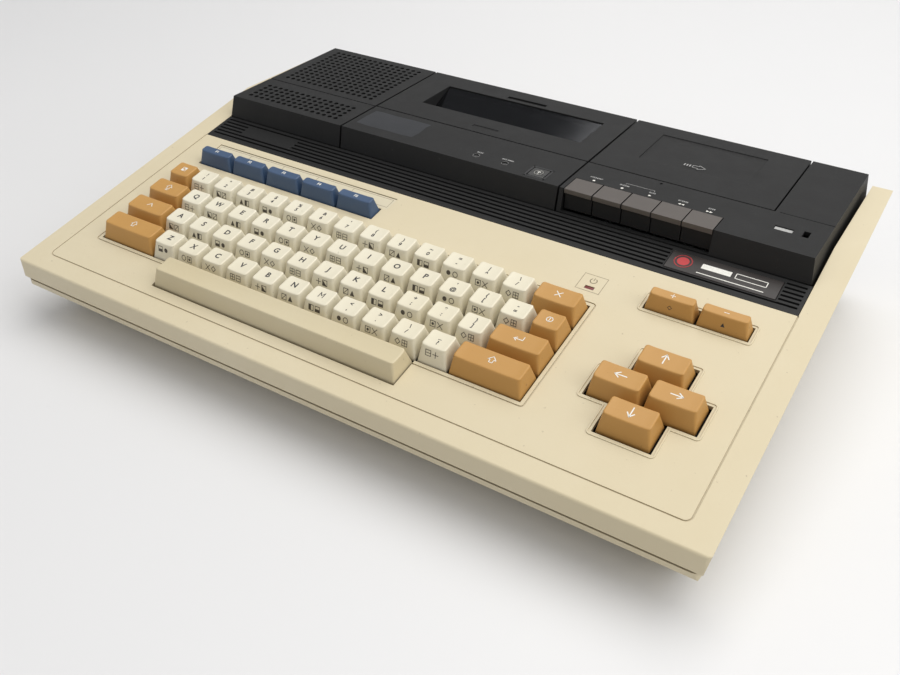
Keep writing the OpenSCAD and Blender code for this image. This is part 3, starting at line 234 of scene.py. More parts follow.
def plastic(name, base, worn, dirt_and_shade, rough, grain=900.0, grain_depth=0.00003, crevice_shade=0.0, coat=0.0,
            shine=0.5):
    """Moulded plastic: broad discolouring, fine mottling, painted shade in the crevices and a moulded grain.
    """
    k = Nodes(name)
    broad = k.ramp(k.noise(7.0, 4.0), [(0.35, 0.0), (0.68, 1.0)])
    colour = k.mix(broad, base, worn)
    fine = k.ramp(k.noise(160.0, 5.0, 0.7), [(0.3, 0.0), (0.75, 0.35)])
    colour = k.mix(fine, colour, worn)
    specks = k.ramp(k.noise(420.0, 2.0, 0.4), [(0.74, 0.0), (0.80, 0.5)])
    colour = k.mix(specks, colour, dirt_and_shade)
    # Painted shade: where an ambient occlusion node finds a crevice, the colour is mixed towards the dirt
    # colour.
    if crevice_shade > 0:
        painted_shade = k.ramp(k.crevice_shade(crevice_shade), [(0.15, 0.75), (0.75, 0.0)])
        colour = k.mix(painted_shade, colour, dirt_and_shade)
    k.link(colour, k.bsdf.inputs["Base Color"])
    k.link(k.value(k.noise(60.0, 4.0), rough - 0.07, rough + 0.09), k.bsdf.inputs["Roughness"])
    first = k.bump(k.noise(grain, 2.0, 0.5), 0.5, grain_depth)
    k.link(k.bump(k.cells(grain * 0.6), 0.25, grain_depth, first), k.bsdf.inputs["Normal"])
    k.bsdf.inputs["Coat Weight"].default_value = coat
    k.bsdf.inputs["Specular IOR Level"].default_value = shine
    return k.m


def metal(name, base, dark, rough, stretch=(1.0, 40.0, 40.0)):
    k = Nodes(name)
    brushed = k.noise(60.0, 4.0, 0.6, 0.0, stretch)
    k.link(k.mix(k.ramp(brushed, [(0.3, 0.0), (0.75, 1.0)]), base, dark), k.bsdf.inputs["Base Color"])
    k.link(k.value(brushed, rough - 0.08, rough + 0.12), k.bsdf.inputs["Roughness"])
    k.bsdf.inputs["Metallic"].default_value = 1.0
    k.link(k.bump(brushed, 0.2, 0.00002), k.bsdf.inputs["Normal"])
    return k.m


def ink(name, base, faded, rough=0.55):
    k = Nodes(name)
    wear = k.ramp(k.noise(900.0, 4.0, 0.7), [(0.45, 0.0), (0.8, 1.0)])
    k.link(k.mix(wear, base, faded), k.bsdf.inputs["Base Color"])
    k.link(k.value(wear, rough, rough + 0.2), k.bsdf.inputs["Roughness"])
    return k.m


def smoked():
    k = Nodes("smoked_window")
    cloud = k.ramp(k.noise(25.0, 3.0), [(0.3, 0.0), (0.8, 1.0)])
    k.link(k.mix(cloud, (0.030, 0.032, 0.036), (0.024, 0.026, 0.030)), k.bsdf.inputs["Base Color"])
    k.link(k.value(k.noise(60.0, 4.0, 0.55, 0.0, (1.0, 12.0, 1.0)), 0.02, 0.20), k.bsdf.inputs["Roughness"])
    k.bsdf.inputs["Transmission Weight"].default_value = 1.0
    k.bsdf.inputs["IOR"].default_value = 1.49
    k.bsdf.inputs["Specular IOR Level"].default_value = 0.3
    k.bsdf.inputs["Specular Tint"].default_value = (0.62, 0.64, 0.70, 1.0)
    k.link(k.bump(k.noise(30.0, 2.0), 0.05, 0.0004), k.bsdf.inputs["Normal"])
    return k.m


def board(name):
    k = Nodes(name)
    n = k.t.nodes.new("ShaderNodeTexBrick")
    n.inputs["Scale"].default_value = 120.0
    n.inputs["Mortar Size"].default_value = 0.03
    n.inputs["Color1"].default_value = (0.012, 0.10, 0.035, 1)
    n.inputs["Color2"].default_value = (0.018, 0.13, 0.045, 1)
    n.inputs["Mortar"].default_value = (0.10, 0.26, 0.10, 1)
    k.link(k.coord, n.inputs["Vector"])
    k.link(n.outputs["Color"], k.bsdf.inputs["Base Color"])
    k.link(k.value(k.noise(80.0), 0.25, 0.45), k.bsdf.inputs["Roughness"])
    k.link(k.bump(n.outputs["Fac"], 0.4, 0.00003), k.bsdf.inputs["Normal"])
    return k.m


# Where a plastic has a crevice reach, an ambient occlusion node paints shade into its crevices in its third
# colour, which also colours its dirt specks.
MATERIALS = {
    "case_cream": plastic(
        "case_cream", (0.635, 0.562, 0.400), (0.60, 0.52, 0.35), (0.30, 0.24, 0.155),
        rough=0.50, grain=1100.0, grain_depth=0.00004, crevice_shade=0.004),
    "unit_black": plastic(
        "unit_black", (0.0098, 0.0099, 0.0100), (0.0125, 0.0125, 0.0125), (0.035, 0.034, 0.032),
        rough=0.52, grain=1000.0, grain_depth=0.00005, shine=0.24),
    "key_white": plastic(
        "key_white", (0.735, 0.695, 0.565), (0.70, 0.645, 0.49), (0.42, 0.37, 0.27),
        rough=0.42, grain=1500.0, grain_depth=0.00002, crevice_shade=0.003),
    "key_space": plastic(
        "key_space", (0.60, 0.53, 0.365), (0.565, 0.485, 0.31), (0.38, 0.32, 0.21),
        rough=0.40, grain=1500.0, grain_depth=0.00002, crevice_shade=0.003),
    "key_ochre": plastic(
        "key_ochre", (0.50, 0.275, 0.082), (0.47, 0.25, 0.068), (0.22, 0.12, 0.04),
        rough=0.42, grain=1500.0, grain_depth=0.00002, crevice_shade=0.003, shine=0.35),
    "key_blue": plastic(
        "key_blue", (0.040, 0.076, 0.148), (0.047, 0.088, 0.168), (0.05, 0.06, 0.08),
        rough=0.40, grain=1500.0, grain_depth=0.00002),
    "deck_key_grey": plastic(
        "deck_key_grey", (0.075, 0.065, 0.058), (0.09, 0.077, 0.068), (0.05, 0.045, 0.04),
        rough=0.42, grain=1500.0, grain_depth=0.00002),
    "badge_brown": plastic(
        "badge_brown", (0.0135, 0.0100, 0.0090), (0.018, 0.0135, 0.012), (0.02, 0.015, 0.013),
        rough=0.36, grain=1500.0, grain_depth=0.00001, shine=0.4),
    "label_card": plastic(
        "label_card", (0.64, 0.585, 0.44), (0.60, 0.535, 0.385), (0.42, 0.37, 0.27),
        rough=0.5, grain=2500.0, grain_depth=0.00001),
    "lamp_red": plastic(
        "lamp_red", (0.13, 0.008, 0.008), (0.16, 0.012, 0.010), (0.05, 0.004, 0.004),
        rough=0.2, grain=1500.0, grain_depth=0.00001, coat=0.5),
    "foot_rubber": plastic(
        "foot_rubber", (0.02, 0.02, 0.02), (0.026, 0.026, 0.025), (0.09, 0.085, 0.075),
        rough=0.75, grain=700.0, grain_depth=0.00006),
    "screw_steel": metal("screw_steel", (0.52, 0.53, 0.54), (0.36, 0.36, 0.37), 0.32),
    "plate_steel": metal("plate_steel", (0.55, 0.56, 0.57), (0.42, 0.43, 0.44), 0.35),
    "plate_black": plastic(
        "plate_black", (0.016, 0.016, 0.016), (0.022, 0.021, 0.020), (0.07, 0.065, 0.055),
        rough=0.6, grain=600.0, grain_depth=0.00004),
    "board_green": board("board_green"),
    "socket_black": plastic(
        "socket_black", (0.022, 0.022, 0.022), (0.028, 0.028, 0.028), (0.06, 0.058, 0.052),
        rough=0.35, grain=1200.0, grain_depth=0.00002),
    "button_red": plastic(
        "button_red", (0.32, 0.015, 0.012), (0.36, 0.022, 0.016), (0.12, 0.02, 0.018),
        rough=0.35, grain=1200.0, grain_depth=0.00002),
    "speaker_paper": plastic(
        "speaker_paper", (0.018, 0.018, 0.018), (0.026, 0.025, 0.024), (0.04, 0.04, 0.04),
        rough=0.85, grain=500.0, grain_depth=0.00012),
    "window_smoke": smoked(),
    "paper_white": plastic(
        "paper_white", (0.80, 0.79, 0.74), (0.76, 0.74, 0.67), (0.55, 0.52, 0.45),
        rough=0.8, grain=2500.0, grain_depth=0.00002),
    "roller_rubber": plastic(
        "roller_rubber", (0.02, 0.02, 0.02), (0.027, 0.026, 0.026), (0.06, 0.06, 0.055),
        rough=0.65, grain_depth=0.00005),
    "button_silver": metal("button_silver", (0.10, 0.10, 0.099), (0.075, 0.075, 0.074),
        0.46, (1.0, 25.0, 1.0)),
    "spindle_white": plastic(
        "spindle_white", (0.62, 0.60, 0.53), (0.58, 0.55, 0.46), (0.3, 0.28, 0.22),
        rough=0.4, grain=1500.0, grain_depth=0.00002),
    "ink_dark": ink("ink_dark", (0.016, 0.016, 0.020), (0.045, 0.043, 0.042)),
    "ink_faint": ink("ink_faint", (0.048, 0.040, 0.032), (0.12, 0.10, 0.078)),
    "ink_white": ink("ink_white", (0.78, 0.77, 0.72), (0.60, 0.58, 0.52)),
    "ink_grey": ink("ink_grey", (0.42, 0.42, 0.41), (0.25, 0.25, 0.25)),
    "ink_brown": ink("ink_brown", (0.24, 0.19, 0.12), (0.36, 0.30, 0.20)),
    "ink_red": ink("ink_red", (0.45, 0.03, 0.035), (0.36, 0.05, 0.05)),
    "residue": plastic(
        "residue", (0.0125, 0.0135, 0.0160), (0.024, 0.027, 0.033), (0.05, 0.055, 0.06),
        rough=0.34, grain=700.0, grain_depth=0.00004, shine=0.3),
    "gold_contact": metal("gold_contact", (0.75, 0.55, 0.22), (0.6, 0.42, 0.16), 0.3),
    "bare_dark": plastic(
        "bare_dark", (0.010, 0.010, 0.011), (0.014, 0.014, 0.015), (0.03, 0.03, 0.03),
        rough=0.35, grain=1200.0, grain_depth=0.00002),
}


# ---------- shared mesh code ----------

def finish_piece(ob, material, body, nodes=(), bevel=0.0, segments=2, smooth=35.0, angle=30.0):
    """Gives a new mesh its finish, its softened edges, its body and the CAD nodes it stands for."""
    bpy.context.scene.collection.objects.link(ob)
    ob.data.materials.clear()
    ob.data.materials.append(MATERIALS[material])
    if bevel > 0:
        m = ob.modifiers.new("soft_edges", "BEVEL")
        m.width = bevel * MM
        m.segments = segments
        m.limit_method = "ANGLE"
        m.angle_limit = math.radians(angle)
        m.use_clamp_overlap = True
        even = ob.modifiers.new("flat_faces", "WEIGHTED_NORMAL")
        even.mode = "FACE_AREA"
        even.weight = 100
        even.keep_sharp = True
    for p in ob.data.polygons:
        p.use_smooth = True
    ob.data.set_sharp_from_angle(angle=math.radians(smooth))
    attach(ob, body)
    if nodes:
        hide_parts(*nodes)
    return ob


def new_object(name, bm):
    bm.normal_update()
    me = bpy.data.meshes.new(name)
    bm.to_mesh(me)
    bm.free()
    return bpy.data.objects.new(name, me)


def shell(node, bevel=0.3, segments=2, material=None, smooth=35.0):
    """A finished piece grown from a node's own surface, with its edges softened."""
    bm = bmesh.new()
    bm.from_mesh(NODES[node].data)
    bmesh.ops.remove_doubles(bm, verts=bm.verts, dist=1e-6)
    bmesh.ops.dissolve_limit(
        bm, angle_limit=math.radians(0.4), verts=bm.verts, edges=bm.edges, delimit={"NORMAL"})
    ob = new_object(node + "_looks", bm)
    return finish_piece(ob, material or SLOT[node], BODY[node], (node,), bevel, segments, smooth)


def outline(x0, x1, y0, y1, r, n=4, sides=0):
    """Points of a rounded rectangle, anticlockwise, with extra points along its sides."""
    pts = []
    corners = ((x1 - r, y1 - r, 0), (x0 + r, y1 - r, 90), (x0 + r, y0 + r, 180), (x1 - r, y0 + r, 270))
    for cx, cy, a0 in corners:
        for i in range(n + 1):
            a = math.radians(a0 + 90.0 * i / n)
            pts.append((cx + r * math.cos(a), cy + r * math.sin(a)))
    if not sides:
        return pts
    full = []
    for i, p in enumerate(pts):
        full.append(p)
        if i % (n + 1) == n:
            q = pts[(i + 1) % len(pts)]
            for j in range(1, sides + 1):
                t = j / (sides + 1)
                full.append((p[0] + (q[0] - p[0]) * t, p[1] + (q[1] - p[1]) * t))
    return full


def loft(bm, rings, cap_first=False, cap_last=False):
    """Skins rings of points with the same count."""
    vs = [[bm.verts.new(p) for p in ring] for ring in rings]
    n = len(vs[0])
    for a, b in zip(vs, vs[1:]):
        for i in range(n):
            j = (i + 1) % n
            bm.faces.new((a[i], a[j], b[j], b[i]))
    if cap_first:
        bm.faces.new(list(reversed(vs[0])))
    if cap_last:
        bm.faces.new(vs[-1])
    return vs


def studio_floor():
    """Pale table that runs up into a backdrop."""
    bm = bmesh.new()
    profile = [(-12.0, 0.0), (1.1, 0.0)]
    for i in range(1, 13):
        a = math.radians(90.0 * i / 12)
        profile.append((1.1 + 0.6 * math.sin(a), 0.6 - 0.6 * math.cos(a)))
    profile.append((1.7, 3.0))
    far = [bm.verts.new((-12.0, y, z)) for y, z in profile]
    near = [bm.verts.new((12.0, y, z)) for y, z in profile]
    for i in range(len(profile) - 1):
        bm.faces.new((far[i], near[i], near[i + 1], far[i + 1]))
    ob = new_object("studio_floor", bm)
    turn = Matrix.Rotation(math.radians(32.4), 4, "Z")
    ob.data.transform(turn)
    k = Nodes("table_white")
    cloud = k.ramp(k.noise(1.3, 3.0), [(0.3, 0.0), (0.75, 1.0)])
    tone = k.mix(cloud, (0.72, 0.72, 0.725), (0.69, 0.692, 0.70))
    scuff = k.ramp(k.noise(14.0, 6.0, 0.75, 1.5), [(0.70, 0.0), (0.78, 0.30)])
    k.link(k.mix(scuff, tone, (0.60, 0.605, 0.615)), k.bsdf.inputs["Base Color"])
    k.link(k.value(k.noise(5.0, 4.0), 0.38, 0.55), k.bsdf.inputs["Roughness"])
    ob.data.materials.append(k.m)
    w = Nodes("backdrop_grey")
    cloud = w.ramp(w.noise(1.1, 3.0), [(0.3, 0.0), (0.75, 1.0)])
    w.link(w.mix(cloud, (0.50, 0.505, 0.512), (0.475, 0.48, 0.49)), w.bsdf.inputs["Base Color"])
    w.link(w.value(w.noise(5.0, 4.0), 0.6, 0.8), w.bsdf.inputs["Roughness"])
    ob.data.materials.append(w.m)
    for p in ob.data.polygons:
        p.use_smooth = True
        p.material_index = 1 if p.center.z > 0.001 else 0
    bpy.context.scene.collection.objects.link(ob)


studio_floor()

# ---------- printed marks ----------

glyph_cache = {}


def glyphs(text, size):
    """Faces of plain text as lists of flat points, centred, with capital letters size mm high."""
    if text == "M":
        side, half = 0.38 * size, 0.5 * size
        legs = [(-side, -half), (-side, half), (0, -0.3 * half), (side, half), (side, -half)]
        return stroke(legs, 0.125 * size)
    if text not in glyph_cache:
        curve = bpy.data.curves.new("glyphs", "FONT")
        curve.body = text
        curve.resolution_u = 3
        curve.align_x = "CENTER"
        curve.offset = 0.026
        holder = bpy.data.objects.new("glyphs", curve)
        me = holder.to_mesh()
        verts = [(v.co.x, v.co.y) for v in me.vertices]
        glyph_cache[text] = [[verts[i] for i in p.vertices] for p in me.polygons]
        holder.to_mesh_clear()
        bpy.data.objects.remove(holder)
        bpy.data.curves.remove(curve)
    k = size / 0.70
    return [[(x * k, (y - 0.35) * k) for x, y in poly] for poly in glyph_cache[text]]


def stroke(points, width, closed=False):
    """A line of even width through flat points, as quads."""
    out = []
    pts = list(points) + ([points[0]] if closed else [])
    for (ax, ay), (bx, by) in zip(pts, pts[1:]):
        length = math.hypot(bx - ax, by - ay) or 1.0
        dx, dy = (bx - ax) / length * width / 2, (by - ay) / length * width / 2
        out.append([(ax - dx - dy, ay - dy + dx), (ax - dx + dy, ay - dy - dx),
                    (bx + dx + dy, by + dy - dx), (bx + dx - dy, by + dy + dx)])
    return out


def circle_points(x, y, r, n):
    return [(x + r * math.cos(2 * math.pi * i / n), y + r * math.sin(2 * math.pi * i / n)) for i in range(n)]


def disc(x, y, r, n=20):
    return [circle_points(x, y, r, n)]


def circle_line(x, y, r, width, n=24):
    return stroke(circle_points(x, y, r, n), width, True)


def bar(x0, x1, y0, y1):
    return [[(x0, y0), (x1, y0), (x1, y1), (x0, y1)]]


def arrow(x, y, length, head, width, angle):
    """Arrow with a shaft, centred on (x, y)."""
    a = math.radians(angle)
    c, s = math.cos(a), math.sin(a)
    shapes = stroke([(-length / 2, 0), (length / 2, 0)], width)
    tip, wing = length / 2, head * 0.75
    shapes += stroke([(tip - head, wing), (tip, 0), (tip - head, -wing)], width)
    return [[(x + px * c - py * s, y + px * s + py * c) for px, py in poly] for poly in shapes]


def moved(shapes, dx, dy):
    return [[(x + dx, y + dy) for x, y in poly] for poly in shapes]


class Ink:
    """Collects printed marks for one body and one colour."""

    def __init__(self, name, material, body):
        self.bm = bmesh.new()
        self.name, self.material, self.body = name, material, body

    def put(self, shapes, place):
        for poly in shapes:
            points = [place(x, y) for x, y in poly]
            if len({tuple(round(c, 7) for c in p) for p in points}) < 3:
                continue
            f = self.bm.faces.new([self.bm.verts.new(p) for p in points])
            f.normal_update()

    def done(self):
        bmesh.ops.remove_doubles(self.bm, verts=self.bm.verts, dist=1e-7)
        finish_piece(new_object(self.name, self.bm), self.material, self.body)


# ---------- keys ----------

class Cap:
    """One keycap in the slope frame, in mm."""

    sides = 5

    def __init__(self, x, y, w, d, top=9.9, front=4.2, back=2.2, side=1.9, dish=0.38, across=True,
                 gap=0.45, skirt=2.0):
        self.x0, self.x1, self.y0, self.y1 = x + gap, x + w - gap, y + gap, y + d - gap
        self.top, self.front, self.back, self.side = top, front, back, side
        self.dish, self.across, self.skirt = dish, across, skirt

    def rect(self, h):
        t = (h + self.skirt) / (self.top + self.skirt)
        return (self.x0 + self.side * t, self.x1 - self.side * t,
                self.y0 + self.front * t, self.y1 - self.back * t)

    def dip(self, x, y, h):
        """How far the hollow of the top draws the surface down at a point."""
        x0, x1, y0, y1 = self.rect(self.top)
        if self.across:
            run = min((x1 - x0) / 2, 6.3)
            side = max(abs(x - (x0 + x1) / 2) - ((x1 - x0) / 2 - run), 0.0) / run
        else:
            side = abs(y - (y0 + y1) / 2) / ((y1 - y0) / 2)
        w = min(max((h - (self.top - 3.5)) / 3.5, 0.0), 1.0)
        return self.dish * (1 - min(side, 1.0) ** 2) * w * w

    def at(self, x, y, h):
        return slope(x, y, h - self.dip(x, y, h))

    def build(self, bm, stems=(0.0,), stem_r=2.6, stem_low=-13.5):
        round_r = 0.6
        rings = []
        heights = [-self.skirt, -self.skirt + 0.35, 0.0, 2.5, 5.0,
                   self.top - 2.8, self.top - 1.7, self.top - round_r]
        for h in heights:
            x0, x1, y0, y1 = self.rect(h)
            out = 0.25 if h == -self.skirt else 0.0
            corner = 0.9 + 0.9 * (h + self.skirt) / self.top
            rings.append([self.at(px, py, h) for px, py in
                          outline(x0 + out, x1 - out, y0 + out, y1 - out, corner, sides=self.sides)])
        for i in range(1, 5):
            a = math.radians(90.0 * i / 4)
            h = self.top - round_r + round_r * math.sin(a)
            x0, x1, y0, y1 = self.rect(h)
            inset = round_r * (1 - math.cos(a))
            rings.append([self.at(px, py, h) for px, py in
                          outline(x0 + inset, x1 - inset, y0 + inset, y1 - inset, 1.5, sides=self.sides)])
        x0, x1, y0, y1 = self.rect(self.top)
        last = outline(x0 + round_r, x1 - round_r, y0 + round_r, y1 - round_r, 1.5, sides=self.sides)
        cx, cy = (x0 + x1) / 2, (y0 + y1) / 2
        spine = max((x1 - x0) / 2 - 5.5, 0.0)
        for s in (0.86, 0.66, 0.44, 0.2):
            ring = []
            for px, py in last:
                ax = cx + max(min(px - cx, spine), -spine)
                ring.append(self.at(ax + (px - ax) * s, cy + (py - cy) * s, self.top))
            rings.append(ring)
        loft(bm, rings, cap_first=True, cap_last=True)
        mid = (self.x0 + self.x1) / 2
        cy0 = (self.y0 + self.y1) / 2
        for s in stems:
            circle = circle_points(mid + s, cy0, stem_r, 24)
            tip = [(mid + s + (px - mid - s) * 0.85, cy0 + (py - cy0) * 0.85) for px, py in circle]
            levels = ((tip, stem_low), (circle, stem_low + 0.5), (circle, -self.skirt + 0.2))
            rings = [[slope(px, py, h) for px, py in ring] for ring, h in levels]
            loft(bm, rings, cap_first=True, cap_last=True)

    def on_top(self, dx=0.0, dy=0.0):
        """Places flat points on the top, measured from its middle."""
        x0, x1, y0, y1 = self.rect(self.top)
        cx, cy = (x0 + x1) / 2 + dx, (y0 + y1) / 2 + dy
        return lambda px, py: self.at(cx + px, cy + py, self.top) + slope(0, 0, INK) - slope(0, 0, 0)

    def on_front(self, dx=0.0, height=3.6):
        """Places flat points on the sloping front."""
        cx = (self.x0 + self.x1) / 2 + dx

        def place(px, py):
            h = height + py
            y = self.rect(h)[2]
            return slope(cx + px, y - INK * 1.2, h)
        return place


def key_piece(node, caps, material=None, stems=(0.0,)):
    bm = bmesh.new()
    for c in caps:
        c.build(bm, stems)
    finish_piece(new_object(node + "_caps", bm), material or SLOT[node], BODY[node], (node,),
                 smooth=50.0)


ROWS = [
    ("lower_row_keys", "left_shift_key", "right_shift_key", 2.25, 2.25, "ZXCVBNM,./?", "       <>\\_"),
    ("home_row_keys", "control_key", "return_key", 1.75, 1.75, "ASDFGHJKL;:]", "         +*}"),
    ("upper_row_keys", "capitals_key", "mode_key", 1.5, 1.0, "QWERTYUIOP@[=", "          '{-"),
    ("number_row_keys", "graphics_key", "break_key", 1.0, 1.5, "1234567890-^/", "!\"#$%&'()~=|\\"),
]


def small_mark(kind, s):
    """A small geometric figure about s mm wide."""
    h = s / 2
    frame_line = stroke([(-h, -h), (h, -h), (h, h), (-h, h)], s * 0.11, True)
    figures = [
        frame_line + bar(-h, 0, -h, h),
        frame_line + stroke([(-h, 0), (h, 0)], s * 0.11),
        circle_line(0, 0, h * 0.95, s * 0.12, 16),
        frame_line + stroke([(-h, -h), (h, h)], s * 0.11),
        stroke([(0, -h), (h, 0), (0, h), (-h, 0)], s * 0.12, True),
        frame_line + bar(-h, h, -h, 0),
        stroke([(-h, 0), (h, 0)], s * 0.12) + stroke([(0, -h), (0, h)], s * 0.12),
        frame_line + disc(0, 0, h * 0.5, 12),
        [[(-h, -h), (h, -h), (0, h)]],
        frame_line + stroke([(0, -h), (0, h)], s * 0.11) + stroke([(-h, 0), (h, 0)], s * 0.11),
        disc(0, 0, h * 0.85, 14),
        frame_line + [[(-h, -h), (h, -h), (-h, h)]],
        stroke([(-h, -h), (h, h)], s * 0.12) + stroke([(-h, h), (h, -h)], s * 0.12),
    ]
    return figures[kind % len(figures)]


def ochre_mark(node):
    """White symbol that stands for a control key's word."""
    up = stroke([(0, 2.2), (-2.2, -0.1), (-1.0, -0.1), (-1.0, -2.0), (1.0, -2.0), (1.0, -0.1), (2.2, -0.1)],
                0.42, True)
    return {
        "left_shift_key": up,
        "right_shift_key": up,
        "control_key": stroke([(-1.9, -1.2), (0, 1.3), (1.9, -1.2)], 0.5),
        "return_key": arrow(-0.2, -0.7, 5.0, 1.5, 0.45, 180) + stroke([(2.3, -0.7), (2.3, 1.7)], 0.45),
        "capitals_key": up + bar(-1.2, 1.2, -3.2, -2.75),
        "mode_key": circle_line(0, 0, 1.7, 0.42, 20) + bar(-0.2, 0.2, -1.6, 1.6),
        "graphics_key": stroke([(-1.6, -1.6), (1.6, -1.6), (1.6, 1.6), (-1.6, 1.6)], 0.42, True)
        + bar(-1.6, 0, -1.6, 0) + bar(0, 1.6, 0, 1.6),
        "break_key": stroke([(-1.7, -1.7), (1.7, 1.7)], 0.5) + stroke([(-1.7, 1.7), (1.7, -1.7)], 0.5),
    }[node]


# name, columns from the right one, rows from the front one, angle of the arrow
CURSOR_KEYS = (
    ("left_key", -1, 1, 180), ("right_key", 0, 1, 0),
    ("up_key", -0.5, 2, 90), ("down_key", -0.5, 0, 270))


def low_cap(x):
    """Shallow cap of a function or editing key."""
    return Cap(x, FN_Y, WIDE_W, FN_D, top=9.0, front=3.2, back=1.4, dish=0.3, side=1.9)


def keyboard():
    kind = 0
    for r, (white, left, right, lw, rw, main, shifted) in enumerate(ROWS):
        y = KEYS_Y + r * PITCH
        caps = [Cap(KEYS_X + (lw + i) * PITCH, y, PITCH, PITCH) for i in range(len(main))]
        key_piece(white, caps)
        print_dark = Ink(white + "_legends", "ink_dark", white)
        print_front = Ink(white + "_front_marks", "ink_faint", white)
        for i, c in enumerate(caps):
            if shifted[i] != " ":
                print_dark.put(glyphs(main[i], 2.6), c.on_top(0.1, -1.9))
                print_dark.put(glyphs(shifted[i], 2.6), c.on_top(0.1, 2.1))
            else:
                print_dark.put(glyphs(main[i], 3.6), c.on_top(0, 0.4))
            for dx in (-2.5, 1.9):
                kind += 5
                print_front.put(small_mark(kind, 3.1), c.on_front(dx, 6.0))
        print_dark.done()
        print_front.done()
        for node, x, units in ((left, KEYS_X, lw), (right, KEYS_X + (lw + len(main)) * PITCH, rw)):
            cap = Cap(x, y, units * PITCH, PITCH)
            key_piece(node, [cap])
            mark = Ink(node + "_mark", "ink_white", node)
            mark.put(ochre_mark(node), cap.on_top(0, 0.4))
            mark.done()
    space = Cap(KEYS_X + 3.25 * PITCH, KEYS_Y - PITCH, 9 * PITCH, PITCH, dish=0.5, across=False)
    key_piece("space_bar", [space], "key_space", (-50.0, 50.0))
    for i in range(5):
        node = "function_key_%d" % (i + 1)
        cap = low_cap(FN_X + i * WIDE_W)
        key_piece(node, [cap])
        mark = Ink(node + "_mark", "ink_white", node)
        mark.put(glyphs("F%d" % (i + 1), 2.0), cap.on_top(0, 0))
        mark.done()
    edit = CURSOR_X - WIDE_W
    for i, node in enumerate(("insert_key", "delete_key")):
        cap = low_cap(edit + i * WIDE_W)
        key_piece(node, [cap])
        mark = Ink(node + "_mark", "ink_white", node)
        sign = stroke([(-1.2, 0), (1.2, 0)], 0.4) + (stroke([(0, -1.2), (0, 1.2)], 0.4) if i == 0 else [])
        mark.put(sign, cap.on_top(0, 0))
        mark.done()
        low = Ink(node + "_front_mark", "ink_dark", node)
        low.put(small_mark(4 if i == 0 else 8, 2.2), cap.on_front(0, 4.0))
        low.done()
    for node, column, row, angle in CURSOR_KEYS:
        cap = Cap(CURSOR_X + column * WIDE_W, CURSOR_Y + row * PITCH, WIDE_W, PITCH)
        key_piece(node, [cap])
        mark = Ink(node + "_mark", "ink_white", node)
        mark.put(arrow(0, 0, 6.0, 2.3, 0.62, angle), cap.on_top(0, 0.2))
        mark.done()


keyboard()


# ---------- printed marks on the case and the units ----------

def on_slope(h=0.0):
    return lambda x, y: slope(x, y, h + INK)


def on_top_of_units(x, y):
    return on_units(x, y, INK)


def print_on(name, colour, body, marks):
    """Prints groups of (shapes, place) in one colour on one body."""
    layer = Ink(name, colour, body)
    for shapes, place in marks:
        layer.put(shapes, place)
    layer.done()


def frame_of(x0, x1, y0, y1, width=0.3):
    return stroke([(x0, y0), (x1, y0), (x1, y1), (x0, y1)], width, True)


def triangle(x, y, size, way=1):
    half = size / 2
    return [[(x - way * half, y - half), (x + way * half, y), (x - way * half, y + half)][::way]]


def power_mark(x, y, r, width):
    angles = [math.radians(a) for a in range(35, 326, 15)]
    ring = [(x + r * math.sin(a), y + r * math.cos(a)) for a in angles]
    return stroke(ring, width) + bar(x - width / 2, x + width / 2, y + r * 0.1, y + r * 1.25)


def name_marks():
    """The badge's red dot and plain bars, where the photo has names."""
    badge = on_slope(0.3)
    print_on("badge_bars", "ink_white", ROOT, [
        (bar(368.0, 384.5, 168.3, 172.3), badge), (frame_of(387.0, 404.0, 168.3, 172.3, 0.5), badge),
        (bar(367.0, 404.0, 163.9, 164.5), badge)])
    print_on("badge_dot", "ink_red", ROOT, [(disc(357.5, 169.6, 3.4, 28), badge)])
    print_on("badge_dot_ring", "ink_red", ROOT, [(circle_line(357.5, 169.6, 4.9, 0.6, 32), badge)])


def case_marks():
    card = on_slope(-0.5)
    lines = [(frame_of(35.0, 178.0, LABEL_Y0, LABEL_Y1, 0.28), card)]
    for i in range(1, 5):
        x = FN_X + i * WIDE_W
        lines.append((bar(x - 0.14, x + 0.14, LABEL_Y0, LABEL_Y1), card))
    print_on("label_lines", "ink_brown", ROOT, lines)
    print_on("power_mark", "ink_brown", ROOT, [
        (frame_of(313.9, 327.8, 125.3, 138.3, 0.3), on_slope()),
        (power_mark(320.9, 133.9, 1.9, 0.45), on_slope())])


